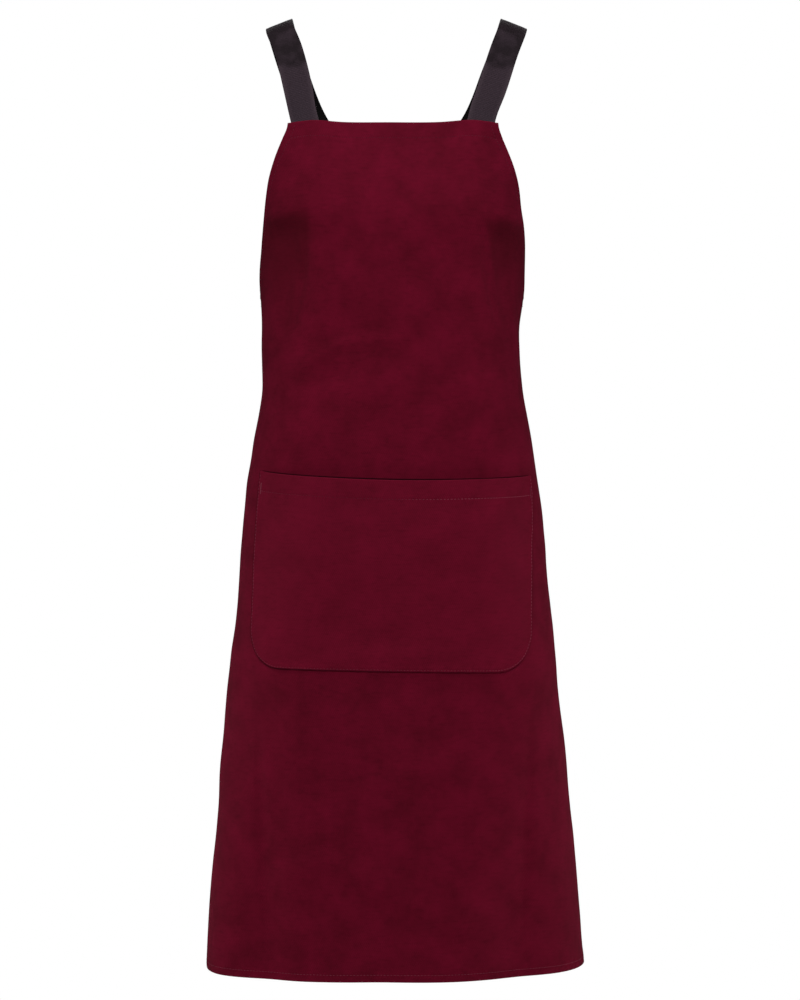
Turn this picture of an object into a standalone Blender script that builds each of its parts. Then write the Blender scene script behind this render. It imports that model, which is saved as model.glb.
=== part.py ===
"""A cotton cross-back apron, hanging as it is worn, in metres, +Z up.

The front faces -Y and the wearer's left is +X. The origin lies midway between the two
places where the straps sit on the shoulders.

The cloth hangs as a wall on a form: a stack of level sections, each a rounded outline that
is wider or flatter at the front, the sides and the back. A point of the cloth is given by
how far it lies across the cut, measured along the cloth from the centre front, and by its
drop below the bib's top edge.
"""

import math

import bmesh
import bpy
import numpy as np

# The hanging form
SHOULDER_DROP = 0.118  # from the straps' seat on the shoulders down to the bib's top edge
APRON_HEIGHT = 0.878  # from the bib's top edge down to the hem
FORM_HALF_WIDTH = 0.139  # at the bust
FORM_FRONT_DEPTH = 0.120  # from the middle plane forward, at the bust
FORM_BACK_DEPTH = 0.100  # from the middle plane back, at the waist
FOLD_LIFT = 0.010  # what the lifts in the table of folds are shares of
BIB_RISE = 0.003  # the bib's top edge rises where the straps pull
BIB_RISE_AT = 0.083  # from the middle to where it is highest
BIB_RISE_REACH = 0.025

# The cut of the cloth, as half widths measured along the cloth
BIB_HALF_WIDTH = 0.111
WING_HALF_WIDTH = 0.287
HEM_HALF_WIDTH = 0.352
ARMHOLE_DEPTH = 0.232  # from the bib's top edge down to the wing's corner
ARMHOLE_RUN = 0.145  # how far the armhole runs outwards at an even slope before it sweeps out
ARMHOLE_START = 0.04  # share of its depth over which it turns from upright to that slope
ARMHOLE_SWEEP = 5.0  # power of the last sweep out to the wing's corner

# Cloth and hems
CLOTH = 0.0012
HEM_CLOTH = 0.0024  # turned in and sewn down
TOP_HEM = 0.019
SIDE_HEM = 0.010
FOOT_HEM = 0.009
HEM_STEP = 0.002  # over this the wall goes from single cloth to the turned hem

# The pocket
POCKET_DROP = 0.362  # from the bib's top edge down to the pocket's mouth
POCKET_HEIGHT = 0.203
POCKET_HALF_MOUTH = 0.160  # along the cloth
POCKET_HALF_FOOT = 0.158
POCKET_LEAN = 0.011  # its foot lies this much further to the wearer's right than its mouth
POCKET_TILT = 0.0047  # the mouth's left end lies this much lower than its right end
POCKET_CORNER = 0.044
POCKET_HEM = 0.022
POCKET_SLACK = 0.012  # how far the mouth's middle stands off the panel
POCKET_DIP = 0.0085  # the mouth's middle sags below its ends
POCKET_SEAM = 0.005  # the sewn margin round its sides and foot
SLACK_SIDE_RUN = 0.6  # share of its half width over which the slack grows from the side seam
SLACK_FOOT_RUN = 0.75  # share of its height over which the slack grows from the foot seam
MOUTH_REACH = 0.5  # share of its height over which the mouth's sag and hem bulk die out

# The straps
STRAP_WIDTH = 0.030
STRAP_THICKNESS = 0.0015
STRAP_SPREAD = 0.124  # from the middle to a strap's centre on the shoulder
BIB_LAP = 0.014  # sewn behind the bib's hem
WING_LAP = 0.026  # sewn inside the wing
STRAP_CROSSING_GAP = 0.0009  # between the straps where they cross
LAYERED_FROM = 0.5  # share of the form's back depth at which the straps begin to lie in two layers
BIB_STRAP_LEAN = math.radians(14)  # from upright, where a strap leaves the bib
WING_STRAP_LEAN = math.radians(35)  # from upright, where a strap reaches the wing
STRAP_INSET = 0.003  # from the strap's edge to the bib's corner or the wing's corner
STRAP_LEAD = 0.012  # it runs straight on this far past the cloth's edge before it bends

SEAT_GAP = 0.0006  # between pieces that are sewn to each other

# How finely the walls are faceted
PANEL_COLUMNS = 44
ARMHOLE_ROWS = 15
ROW_CROWDING = 1.5  # power that crowds those rows towards the wing's corner
SKIRT_ROWS = 21
POCKET_COLUMNS = 36
POCKET_ROWS = 9
POCKET_CORNER_ROWS = 6
STRAP_RINGS = 54
SECTION_ANGLES = np.linspace(0, math.pi, 361)
NORMAL_STEP = 0.001  # the face's direction is read over this distance each way
SHARP_EDGE = math.radians(40)  # edges that turn more than this are shaded sharp

# Colours, linear
BURGUNDY = (0.110, 0.004, 0.014)
BLACK_BROWN = (0.030, 0.020, 0.026)
COTTON_ROUGHNESS = 0.85
WEBBING_ROUGHNESS = 0.70

# Sections of the form, from the bib's top edge down. drop is a share of the apron's height,
# right and left are half widths on the wearer's right and left as shares of the form's,
# front and back are shares of its depths, and the squares are the outline's powers: 2 is an
# ellipse, and more is squarer.
FORM_COLUMNS = ("drop", "right", "left", "front", "back", "right_square", "left_square")
FORM = (
    (0.000, 1.085, 1.085, 0.720, 1.120, 2.60, 2.60),
    (0.055, 1.035, 1.035, 0.890, 1.120, 2.60, 2.60),
    (0.100, 1.008, 1.010, 0.980, 1.090, 2.55, 2.55),
    (0.140, 1.022, 1.030, 1.005, 1.060, 2.50, 2.50),
    (0.185, 1.022, 1.012, 1.005, 0.980, 2.45, 2.45),
    (0.250, 1.002, 0.966, 0.985, 0.900, 2.40, 2.40),
    (0.310, 0.996, 0.986, 0.980, 0.880, 2.40, 2.40),
    (0.375, 1.062, 1.056, 0.990, 0.900, 2.40, 2.40),
    (0.433, 1.112, 1.112, 1.010, 0.940, 2.40, 2.40),
    (0.498, 1.158, 1.156, 1.035, 0.980, 2.40, 2.40),
    (0.580, 1.192, 1.204, 1.065, 1.020, 2.40, 2.40),
    (0.690, 1.268, 1.274, 1.110, 1.060, 2.40, 2.35),
    (0.800, 1.322, 1.340, 1.160, 1.090, 2.50, 2.25),
    (0.910, 1.382, 1.405, 1.210, 1.110, 2.60, 2.10),
    (1.000, 1.412, 1.455, 1.250, 1.120, 2.75, 2.00),
)

# Folds and dents. across is a share of the hem's half width, minus on the wearer's right;
# inner and outer say how far the fold reaches towards the centre front and away from it;
# drop, above and below are shares of the apron's height; lift is a share of the fold lift.
FOLD_COLUMNS = ("name", "across", "inner", "outer", "drop", "above", "below", "lift")
FOLDS = (
    ("right_bust", -0.270, 0.150, 0.110, 0.103, 0.080, 0.034, 0.85),
    ("left_bust", 0.275, 0.150, 0.110, 0.106, 0.080, 0.034, 0.85),
    ("right_tuck", -0.390, 0.095, 0.140, 0.158, 0.034, 0.085, -0.80),
    ("left_tuck", 0.400, 0.085, 0.140, 0.165, 0.034, 0.075, -0.80),
    ("waist_hollow", -0.120, 0.160, 0.160, 0.262, 0.030, 0.045, -0.22),
    ("right_valley", -0.375, 0.075, 0.075, 1.000, 0.230, 0.100, -0.60),
    ("right_ridge", -0.560, 0.080, 0.110, 1.000, 0.260, 0.100, 0.50),
    ("lap_valley", -0.040, 0.090, 0.090, 1.000, 0.130, 0.100, -0.32),
    ("lap_ridge", 0.170, 0.110, 0.080, 1.000, 0.190, 0.100, 0.34),
    ("left_valley", 0.385, 0.085, 0.080, 1.000, 0.260, 0.100, -0.50),
    ("left_ridge", 0.560, 0.080, 0.110, 1.000, 0.230, 0.100, 0.30),
)

# The free stretch of a strap, from the bib over the shoulder and across the back. right and
# left are how far out the straps over those shoulders lie, as shares of the strap spread,
# minus past the middle; forward is a share of the form's front depth, and of its back depth
# where minus; down is a share of the drop from the shoulders to the wing's corner; facing is
# the way the strap's face looks in degrees, 0 to the front, 90 up and 180 to the back; slope
# is how far that face tilts outwards in degrees.
ROUTE_COLUMNS = ("name", "right", "left", "forward", "down", "facing", "slope")
ROUTE = (
    ("collarbone", 0.792, 0.822, 0.515, 0.237, 26.0, 8.0),
    ("shoulder_front", 0.880, 0.938, 0.350, 0.110, 46.0, 16.0),
    ("shoulder_slope", 0.962, 1.018, 0.135, 0.032, 72.0, 20.0),
    ("shoulder_top", 0.974, 1.034, -0.090, 0.007, 97.0, 21.0),
    ("shoulder_back", 0.944, 0.996, -0.430, 0.043, 130.0, 18.0),
    ("upper_blade", 0.858, 0.892, -0.760, 0.135, 156.0, 9.0),
    ("blade", 0.710, 0.740, -0.950, 0.265, 173.0, 3.0),
    ("above_crossing", 0.300, 0.300, -1.000, 0.460, 180.0, 0.0),
    ("crossing", 0.000, 0.000, -1.000, 0.590, 180.0, 0.0),
    ("below_crossing", -0.300, -0.300, -0.985, 0.720, 180.0, 0.0),
    ("low_back", -0.560, -0.560, -0.860, 0.832, 190.0, -12.0),
)


def rows_of(table, columns):
    """The rows of a table, each with its values by their columns' names."""
    return [dict(zip(columns, row)) for row in table]


def column(table, columns, name):
    """One named column of a table, as an array."""
    return np.array([row[name] for row in rows_of(table, columns)], float)


def smooth(stations, values, at):
    """The smooth curve through the values at the stations, read at places, and straight past its ends."""
    slopes = np.gradient(values, stations, axis=0)
    at = np.asarray(at, float)
    within = np.clip(at, stations[0], stations[-1])
    i = np.clip(np.searchsorted(stations, within, side="right") - 1, 0, len(stations) - 2)
    span = stations[i + 1] - stations[i]
    t, past = (within - stations[i]) / span, at - within
    if np.ndim(values) > 1:
        t, span, past = t[:, None], span[:, None], past[:, None]
    return (
        values[i] * (2 * t**3 - 3 * t**2 + 1)
        + slopes[i] * span * (t**3 - 2 * t**2 + t)
        + values[i + 1] * (3 * t**2 - 2 * t**3)
        + slopes[i + 1] * span * (t**3 - t**2)
        + np.where(past < 0, slopes[i], slopes[i + 1]) * past
    )


def eased(share):
    """From 0 to 1 with a soft start and end."""
    t = np.clip(share, 0, 1)
    return t * t * (3 - 2 * t)


def bell(away, before, after):
    """1 at the middle, falling to a third at before on its minus side and after on its plus side."""
    return np.exp(-((away / np.where(away < 0, before, after)) ** 2))


def half_cut(drop):
    """The cloth's half width at a drop: the armhole's curve, then the sloping back edge."""
    t = np.clip(drop / ARMHOLE_DEPTH, 0, 1)
    run_end = math.hypot(1, ARMHOLE_START) - ARMHOLE_START
    sweep = WING_HALF_WIDTH - BIB_HALF_WIDTH - ARMHOLE_RUN * run_end
    turned = np.hypot(t, ARMHOLE_START) - ARMHOLE_START
    armhole = BIB_HALF_WIDTH + ARMHOLE_RUN * turned + sweep * t**ARMHOLE_SWEEP
    flare = np.clip((drop - ARMHOLE_DEPTH) / (APRON_HEIGHT - ARMHOLE_DEPTH), 0, 1)
    return armhole + (HEM_HALF_WIDTH - WING_HALF_WIDTH) * flare


def lifted(across, drop):
    """How far the folds lift the cloth off the plain form at a place on it."""
    across, drop = across / HEM_HALF_WIDTH, drop / APRON_HEIGHT
    total = np.zeros_like(across)
    for fold in rows_of(FOLDS, FOLD_COLUMNS):
        outwards = (across - fold["across"]) * np.sign(fold["across"])
        sideways = bell(outwards, fold["inner"], fold["outer"])
        total += fold["lift"] * sideways * bell(drop - fold["drop"], fold["above"], fold["below"])
    return FOLD_LIFT * total


def section_at(drop):
    """The form's outline at a drop, as points from the centre front to the centre back of each side."""
    stations = column(FORM, FORM_COLUMNS, "drop")
    share = np.array(drop / APRON_HEIGHT)
    here = {
        name: float(smooth(stations, column(FORM, FORM_COLUMNS, name), share))
        for name in FORM_COLUMNS[1:]
    }
    in_front = SECTION_ANGLES <= math.pi / 2
    depth = np.where(in_front, here["front"] * FORM_FRONT_DEPTH, here["back"] * FORM_BACK_DEPTH)
    across, along = np.sin(SECTION_ANGLES), np.cos(SECTION_ANGLES)
    outlines = {}
    for hand in ("right", "left"):
        half_width, square = here[hand] * FORM_HALF_WIDTH, here[hand + "_square"]
        radius = (np.abs(across / half_width) ** square + np.abs(along / depth) ** square) ** (-1 / square)
        outlines[hand] = np.stack([radius * across, -radius * along], axis=1)
    return outlines


def on_section(across, drop):
    """Points of the cloth's outer face, all at one drop, at distances across the cut."""
    lift = lifted(across, drop)
    points = np.zeros((len(across), 3))
    for hand, outline in section_at(drop).items():
        mine = across < 0 if hand == "right" else across >= 0
        steps = np.diff(outline, axis=0)
        lengths = np.linalg.norm(steps, axis=1)
        along = np.concatenate([[0], np.cumsum(lengths)])
        middles = (along[1:] + along[:-1]) / 2
        reach = np.abs(across[mine])
        tangent = np.stack([np.interp(reach, middles, steps[:, k] / lengths) for k in (0, 1)], axis=1)
        tangent /= np.linalg.norm(tangent, axis=1)[:, None]
        place = np.stack([np.interp(reach, along, outline[:, k]) for k in (0, 1)], axis=1)
        place += lift[mine, None] * np.stack([tangent[:, 1], -tangent[:, 0]], axis=1)
        points[mine, 0] = place[:, 0] * (-1 if hand == "right" else 1)
        points[mine, 1] = place[:, 1]
    from_strap = np.abs(across) - BIB_RISE_AT
    rise = BIB_RISE * bell(from_strap, BIB_RISE_REACH, BIB_RISE_REACH)
    points[:, 2] = -SHOULDER_DROP - drop + rise * (1 - eased(drop / ARMHOLE_DEPTH))
    return points


def on_form(across, drop):
    """Points of the cloth's outer face at distances across the cut and drops, as arrays."""
    points = np.zeros(across.shape + (3,))
    for level in np.unique(drop):
        points[drop == level] = on_section(across[drop == level], level)
    return points


def stand_off_form(across, drop, distance):
    """Points that stand off the cloth's outer face by a distance, minus into the cloth."""
    across, drop = np.broadcast_arrays(np.asarray(across, float), np.asarray(drop, float))
    step = NORMAL_STEP
    down = on_form(across, drop + step) - on_form(across, drop - step)
    sideways = on_form(across + step, drop) - on_form(across - step, drop)
    out = np.cross(down, sideways)
    out /= np.linalg.norm(out, axis=-1, keepdims=True)
    return on_form(across, drop) + out * np.asarray(distance)[..., None]


def panel_faces():
    """Outer and inner face of the bib and skirt: its columns spread from the bib to the hem."""
    bib_height = ARMHOLE_DEPTH - TOP_HEM - HEM_STEP
    rows = np.concatenate(
        [
            [0, TOP_HEM],
            ARMHOLE_DEPTH - bib_height * np.linspace(1, 0, ARMHOLE_ROWS) ** ROW_CROWDING,
            np.linspace(ARMHOLE_DEPTH, APRON_HEIGHT - FOOT_HEM - HEM_STEP, SKIRT_ROWS)[1:],
            [APRON_HEIGHT - FOOT_HEM, APRON_HEIGHT],
        ]
    )[:, None]
    half = half_cut(rows)
    spread = np.linspace(-1, 1, PANEL_COLUMNS)
    single = spread * (half - SIDE_HEM - HEM_STEP)
    across = np.hstack([-half, SIDE_HEM - half, single, half - SIDE_HEM, half])
    in_hem = (rows <= TOP_HEM) | (rows >= APRON_HEIGHT - FOOT_HEM) | (np.abs(across) >= half - SIDE_HEM)
    thickness = np.where(in_hem, HEM_CLOTH, CLOTH)
    return stand_off_form(across, rows, 0 * thickness), stand_off_form(across, rows, -thickness)


def pocket_faces():
    """Outer and inner face of the pocket, sewn close at its sides and foot and slack at its mouth."""
    corner_top = POCKET_HEIGHT - POCKET_CORNER
    turn = np.linspace(0, math.pi / 2, POCKET_CORNER_ROWS + 1)[1:]
    rows = np.concatenate(
        [
            [0, POCKET_HEM],
            np.linspace(POCKET_HEM + HEM_STEP, corner_top, POCKET_ROWS),
            corner_top + POCKET_CORNER * np.sin(turn),
        ]
    )[:, None]
    share = rows / POCKET_HEIGHT
    half = POCKET_HALF_MOUTH + (POCKET_HALF_FOOT - POCKET_HALF_MOUTH) * share
    half += np.sqrt(POCKET_CORNER**2 - np.maximum(rows - corner_top, 0) ** 2) - POCKET_CORNER
    sewn = half - POCKET_SEAM
    across = np.hstack([-half, np.linspace(-1, 1, POCKET_COLUMNS) * sewn, half])
    inside = 1 - np.abs(across) / sewn
    above_foot = 1 - rows / (POCKET_HEIGHT - POCKET_SEAM)
    slack = POCKET_SLACK * eased(inside / SLACK_SIDE_RUN) * eased(above_foot / SLACK_FOOT_RUN)
    at_mouth = 1 - eased(share / MOUTH_REACH)
    hem_bulk = (HEM_CLOTH - CLOTH) * at_mouth
    outer_at = SEAT_GAP + CLOTH + hem_bulk + slack
    inner_at = outer_at - np.where(rows <= POCKET_HEM, HEM_CLOTH, CLOTH)
    dip = POCKET_DIP * (1 - (across / half) ** 2) * at_mouth
    drop = POCKET_DROP + rows + dip + POCKET_TILT * across / (2 * half)
    across = across - POCKET_LEAN * (share - 0.5)
    return stand_off_form(across, drop, outer_at), stand_off_form(across, drop, inner_at)


def sewn_rows(hand, across):
    """Rows of three points where a strap is sewn: behind the bib, and inside the far wing."""
    inside = -(HEM_CLOTH + SEAT_GAP + STRAP_THICKNESS / 2) * np.ones(3)
    lean, far_lean = BIB_STRAP_LEAN, WING_STRAP_LEAN
    half_strap = STRAP_WIDTH / 2
    place = BIB_HALF_WIDTH - STRAP_INSET - half_strap / math.cos(lean)
    bib = []
    for along in (BIB_LAP, BIB_LAP / 2, 0.0, -STRAP_LEAD):
        at = place - along * math.sin(lean) + across * math.cos(lean)
        drop = along * math.cos(lean) + across * math.sin(lean)
        bib.append(stand_off_form(hand * at, drop, inside))
    edge_slope = (half_cut(ARMHOLE_DEPTH) - half_cut(ARMHOLE_DEPTH - half_strap)) / half_strap
    corner_drop = ARMHOLE_DEPTH - (half_strap + STRAP_INSET) / math.hypot(1, edge_slope)
    corner_place = half_cut(corner_drop)
    wing = []
    for along in (-STRAP_LEAD, 0.0, WING_LAP / 2, WING_LAP):
        at = corner_place - along * math.sin(far_lean) + across * math.cos(far_lean)
        drop = corner_drop + along * math.cos(far_lean) + across * math.sin(far_lean)
        wing.append(stand_off_form(-hand * at, drop, inside))
    return bib, wing


def strap_faces(hand):
    """Outer and inner face of a strap: a ribbon from the bib over one shoulder to the far wing.

    hand is -1 for the strap over the wearer's right shoulder and 1 for the left.
    """
    across = np.array([-1, 0, 1]) * STRAP_WIDTH / 2
    bib, wing = sewn_rows(hand, across)
    full_drop = SHOULDER_DROP + ARMHOLE_DEPTH
    free, facings = [], []
    for stop in rows_of(ROUTE, ROUTE_COLUMNS):
        out = stop["right"] if hand < 0 else stop["left"]
        depth = FORM_FRONT_DEPTH if stop["forward"] > 0 else FORM_BACK_DEPTH
        free.append((hand * out * STRAP_SPREAD, -stop["forward"] * depth, -stop["down"] * full_drop))
        face, tilt = math.radians(stop["facing"]), math.radians(stop["slope"])
        level = math.cos(tilt)
        facings.append((hand * math.sin(tilt), -math.cos(face) * level, math.sin(face) * level))
    middles = np.array([row[1] for row in bib] + free + [row[1] for row in wing])
    along = np.concatenate([[0], np.cumsum(np.linalg.norm(np.diff(middles, axis=0), axis=1))])
    tangents = np.gradient(middles, along, axis=0)[len(bib) : -len(wing)]
    free, facings = np.array(free), np.array(facings)
    width = hand * np.cross(tangents, facings)
    width /= np.linalg.norm(width, axis=1)[:, None]
    layer = hand * (STRAP_THICKNESS + STRAP_CROSSING_GAP) / 2
    layered = eased((free[:, 1] / FORM_BACK_DEPTH - LAYERED_FROM) / (1 - LAYERED_FROM))
    free += facings * layer * layered[:, None]
    rows = np.concatenate([bib, free[:, None] + across[None, :, None] * width[:, None], wing])
    at = np.linspace(0, along[-1], STRAP_RINGS)
    middle = np.stack([smooth(along, rows[:, k], at) for k in range(len(across))], axis=1)
    out = np.cross(np.gradient(middle, axis=0), np.gradient(middle, axis=1)) * -hand
    out *= STRAP_THICKNESS / 2 / np.linalg.norm(out, axis=-1, keepdims=True)
    return middle + out, middle - out


def solid_from(name, outer, inner, material):
    """One closed solid between two grids of points, made as a mesh object."""
    rows, columns = outer.shape[:2]
    mesh = bmesh.new()
    faces_of = []
    for grid in (outer, inner):
        faces_of.append([[mesh.verts.new(point) for point in line] for line in grid])
    front, back = faces_of
    for i in range(rows - 1):
        for j in range(columns - 1):
            mesh.faces.new((front[i][j], front[i + 1][j], front[i + 1][j + 1], front[i][j + 1]))
            mesh.faces.new((back[i][j], back[i][j + 1], back[i + 1][j + 1], back[i + 1][j]))
    rim = [(0, j) for j in range(columns)] + [(i, columns - 1) for i in range(1, rows)]
    rim += [(rows - 1, j) for j in range(columns - 2, -1, -1)] + [(i, 0) for i in range(rows - 2, 0, -1)]
    for (i, j), (k, m) in zip(rim, rim[1:] + rim[:1]):
        mesh.faces.new((front[i][j], front[k][m], back[k][m], back[i][j]))
    bmesh.ops.triangulate(mesh, faces=mesh.faces, quad_method="SHORT_EDGE")
    bmesh.ops.recalc_face_normals(mesh, faces=mesh.faces)
    data = bpy.data.meshes.new(name)
    mesh.to_mesh(data)
    mesh.free()
    data.shade_smooth()
    data.set_sharp_from_angle(angle=SHARP_EDGE)
    data.materials.append(material)
    made = bpy.data.objects.new(name, data)
    bpy.context.scene.collection.objects.link(made)
    return made


def material(name, colour, roughness):
    """A plain cloth material."""
    made = bpy.data.materials.new(name)
    made.use_nodes = True
    shader = made.node_tree.nodes["Principled BSDF"]
    shader.inputs["Base Color"].default_value = (*colour, 1)
    shader.inputs["Roughness"].default_value = roughness
    shader.inputs["Metallic"].default_value = 0
    made.diffuse_color = (*colour, 1)
    return made


def main():
    """Clears the scene and builds the apron."""
    for old in list(bpy.data.objects):
        bpy.data.objects.remove(old)
    cotton = material("burgundy_cotton_drill", BURGUNDY, COTTON_ROUGHNESS)
    webbing = material("black_brown_webbing", BLACK_BROWN, WEBBING_ROUGHNESS)
    solid_from("apron_panel", *panel_faces(), cotton)
    solid_from("pocket", *pocket_faces(), cotton)
    solid_from("strap_over_right_shoulder", *strap_faces(-1), webbing)
    solid_from("strap_over_left_shoulder", *strap_faces(1), webbing)


main()
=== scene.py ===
"""The looks of a cotton cross-back apron, hung as it is worn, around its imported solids.

Metres, +Z up, the front faces -Y and the wearer's left is +X. A place on the cloth is given
by two numbers: across, its distance across the cut, measured along the cloth from the centre
front and minus on the wearer's right, and drop, how far it is below the bib's top edge.
"""

import logging
import math
from collections.abc import Callable, Sequence
from dataclasses import dataclass, field
from enum import Enum
from functools import partial

import bpy
import numpy as np
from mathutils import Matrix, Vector


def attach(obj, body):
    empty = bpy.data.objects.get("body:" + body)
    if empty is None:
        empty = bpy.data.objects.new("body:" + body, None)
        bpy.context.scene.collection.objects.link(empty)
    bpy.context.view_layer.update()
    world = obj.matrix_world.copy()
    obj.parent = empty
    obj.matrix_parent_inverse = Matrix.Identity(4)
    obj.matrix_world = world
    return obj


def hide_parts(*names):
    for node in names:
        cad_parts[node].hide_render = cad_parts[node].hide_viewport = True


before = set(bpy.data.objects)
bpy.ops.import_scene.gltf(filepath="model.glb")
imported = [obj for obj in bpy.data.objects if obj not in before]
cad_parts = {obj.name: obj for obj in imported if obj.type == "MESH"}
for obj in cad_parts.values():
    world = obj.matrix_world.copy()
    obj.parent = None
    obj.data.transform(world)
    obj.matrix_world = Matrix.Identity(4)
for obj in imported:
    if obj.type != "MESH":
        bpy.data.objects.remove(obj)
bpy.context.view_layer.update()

Array = np.ndarray
Socket = bpy.types.NodeSocket
Surface = Callable[[Array, Array, Array], Array]
Steps = tuple[tuple[float, float, int], ...]
LOG = logging.getLogger("apron")
BODY = "root"
FOLD_ROUND = 0.44  # a folded edge's radius, as a share of its thickness


class Side(Enum):
    """The wearer's side, as the sign of X there."""

    RIGHT = -1
    LEFT = 1


# Tables

# Sections of the hanging form, from the bib's top edge down. drop is a share of the apron's
# height, right and left are half widths on the wearer's right and left as shares of the
# form's, front and back are shares of its depths, and the squares are the outline's powers:
# 2 is an ellipse, and more is squarer.
FORM_COLUMNS = ("drop", "right", "left", "front", "back", "right_square", "left_square")
FORM = (
    (0.000, 1.085, 1.085, 0.720, 1.120, 2.60, 2.60),
    (0.055, 1.035, 1.035, 0.890, 1.120, 2.60, 2.60),
    (0.100, 1.008, 1.010, 0.980, 1.090, 2.55, 2.55),
    (0.140, 1.022, 1.030, 1.005, 1.060, 2.50, 2.50),
    (0.185, 1.022, 1.012, 1.005, 0.980, 2.45, 2.45),
    (0.250, 1.002, 0.966, 0.985, 0.900, 2.40, 2.40),
    (0.310, 0.996, 0.986, 0.980, 0.880, 2.40, 2.40),
    (0.375, 1.062, 1.056, 0.990, 0.900, 2.40, 2.40),
    (0.433, 1.112, 1.112, 1.010, 0.940, 2.40, 2.40),
    (0.498, 1.158, 1.156, 1.035, 0.980, 2.40, 2.40),
    (0.580, 1.192, 1.204, 1.065, 1.020, 2.40, 2.40),
    (0.690, 1.268, 1.274, 1.110, 1.060, 2.40, 2.35),
    (0.800, 1.322, 1.340, 1.160, 1.090, 2.50, 2.25),
    (0.910, 1.382, 1.405, 1.210, 1.110, 2.60, 2.10),
    (1.000, 1.412, 1.455, 1.250, 1.120, 2.75, 2.00),
)

# Main folds and dents. across is a share of the hem's half width, inner and outer say how
# far the fold reaches towards the centre front and away from it, drop, above and below are
# shares of the apron's height, and lift is a share of the fold lift.
FOLD_COLUMNS = ("name", "across", "inner", "outer", "drop", "above", "below", "lift")
FOLDS = (
    ("right_bust", -0.270, 0.150, 0.110, 0.103, 0.080, 0.034, 0.85),
    ("left_bust", 0.275, 0.150, 0.110, 0.106, 0.080, 0.034, 0.85),
    ("right_tuck", -0.390, 0.095, 0.140, 0.158, 0.034, 0.085, -0.80),
    ("left_tuck", 0.400, 0.085, 0.140, 0.165, 0.034, 0.075, -0.80),
    ("waist_hollow", -0.120, 0.160, 0.160, 0.262, 0.030, 0.045, -0.22),
    ("right_valley", -0.375, 0.075, 0.075, 1.000, 0.230, 0.100, -0.60),
    ("right_ridge", -0.560, 0.080, 0.110, 1.000, 0.260, 0.100, 0.50),
    ("lap_valley", -0.040, 0.090, 0.090, 1.000, 0.130, 0.100, -0.32),
    ("lap_ridge", 0.170, 0.110, 0.080, 1.000, 0.190, 0.100, 0.34),
    ("left_valley", 0.385, 0.085, 0.080, 1.000, 0.260, 0.100, -0.50),
    ("left_ridge", 0.560, 0.080, 0.110, 1.000, 0.230, 0.100, 0.30),
)

# Fine creases: lines from one place to another. The two acrosses and the reach to each side
# are shares of the hem's half width, the drops are shares of the apron's height, and lift is
# a share of the crease lift.
CREASE_COLUMNS = ("name", "across", "drop", "to_across", "to_drop", "reach", "lift")
CREASES = (
    ("right_bust_fold", -0.225, 0.104, -0.430, 0.111, 0.022, 0.85),
    ("left_bust_fold", 0.235, 0.113, 0.430, 0.117, 0.022, 0.85),
    ("right_under_bust", -0.225, 0.130, -0.430, 0.136, 0.048, -1.35),
    ("left_under_bust", 0.235, 0.136, 0.435, 0.142, 0.046, -1.25),
    ("right_side_fall", -0.310, 0.140, -0.350, 0.250, 0.085, -1.60),
    ("left_side_fall", 0.330, 0.150, 0.395, 0.240, 0.080, -1.40),
    ("right_bust_line", -0.245, 0.118, -0.320, 0.245, 0.020, -0.70),
    ("left_bust_line", 0.246, 0.124, 0.345, 0.240, 0.022, -0.80),
    ("waist_arch_right", -0.350, 0.300, -0.150, 0.262, 0.022, 0.90),
    ("waist_arch", -0.190, 0.262, 0.020, 0.256, 0.022, 0.75),
    ("waist_arch_foot", -0.300, 0.320, -0.080, 0.284, 0.028, -0.60),
    ("left_waist_line", 0.130, 0.318, 0.330, 0.300, 0.024, 0.80),
    ("bib_press", 0.010, 0.045, 0.030, 0.240, 0.012, -0.20),
    ("under_pocket", -0.240, 0.630, 0.200, 0.622, 0.034, 0.60),
    ("lap_arch_right", -0.370, 0.884, -0.150, 0.858, 0.040, 1.10),
    ("lap_arch", -0.200, 0.856, 0.090, 0.920, 0.040, 1.10),
    ("lap_low", 0.100, 0.936, 0.310, 0.926, 0.038, 0.90),
    ("lap_high", -0.060, 0.770, 0.260, 0.750, 0.050, 0.70),
    ("right_skirt_line", -0.420, 0.700, -0.380, 0.960, 0.022, -0.50),
    ("left_skirt_line", 0.430, 0.690, 0.400, 0.960, 0.022, -0.50),
)

# Shade painted under the bust, where the cloth hangs in, as a darker colour: the side as the sign
# of X, the zone's inner edge across at its top, that edge's lean, the top's drop, the reach
# down, and the share of the painted shade. All but the side, the lean and the share in metres.
UNDER_BUST_SHADE_COLUMNS = ("name", "side", "across", "lean", "drop", "reach", "share")
UNDER_BUST_SHADE = (
    ("right_under_bust", -1, 0.080, 0.12, 0.090, 0.150, 0.75),
    ("left_under_bust", 1, 0.086, 0.42, 0.097, 0.120, 0.60),
)

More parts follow.
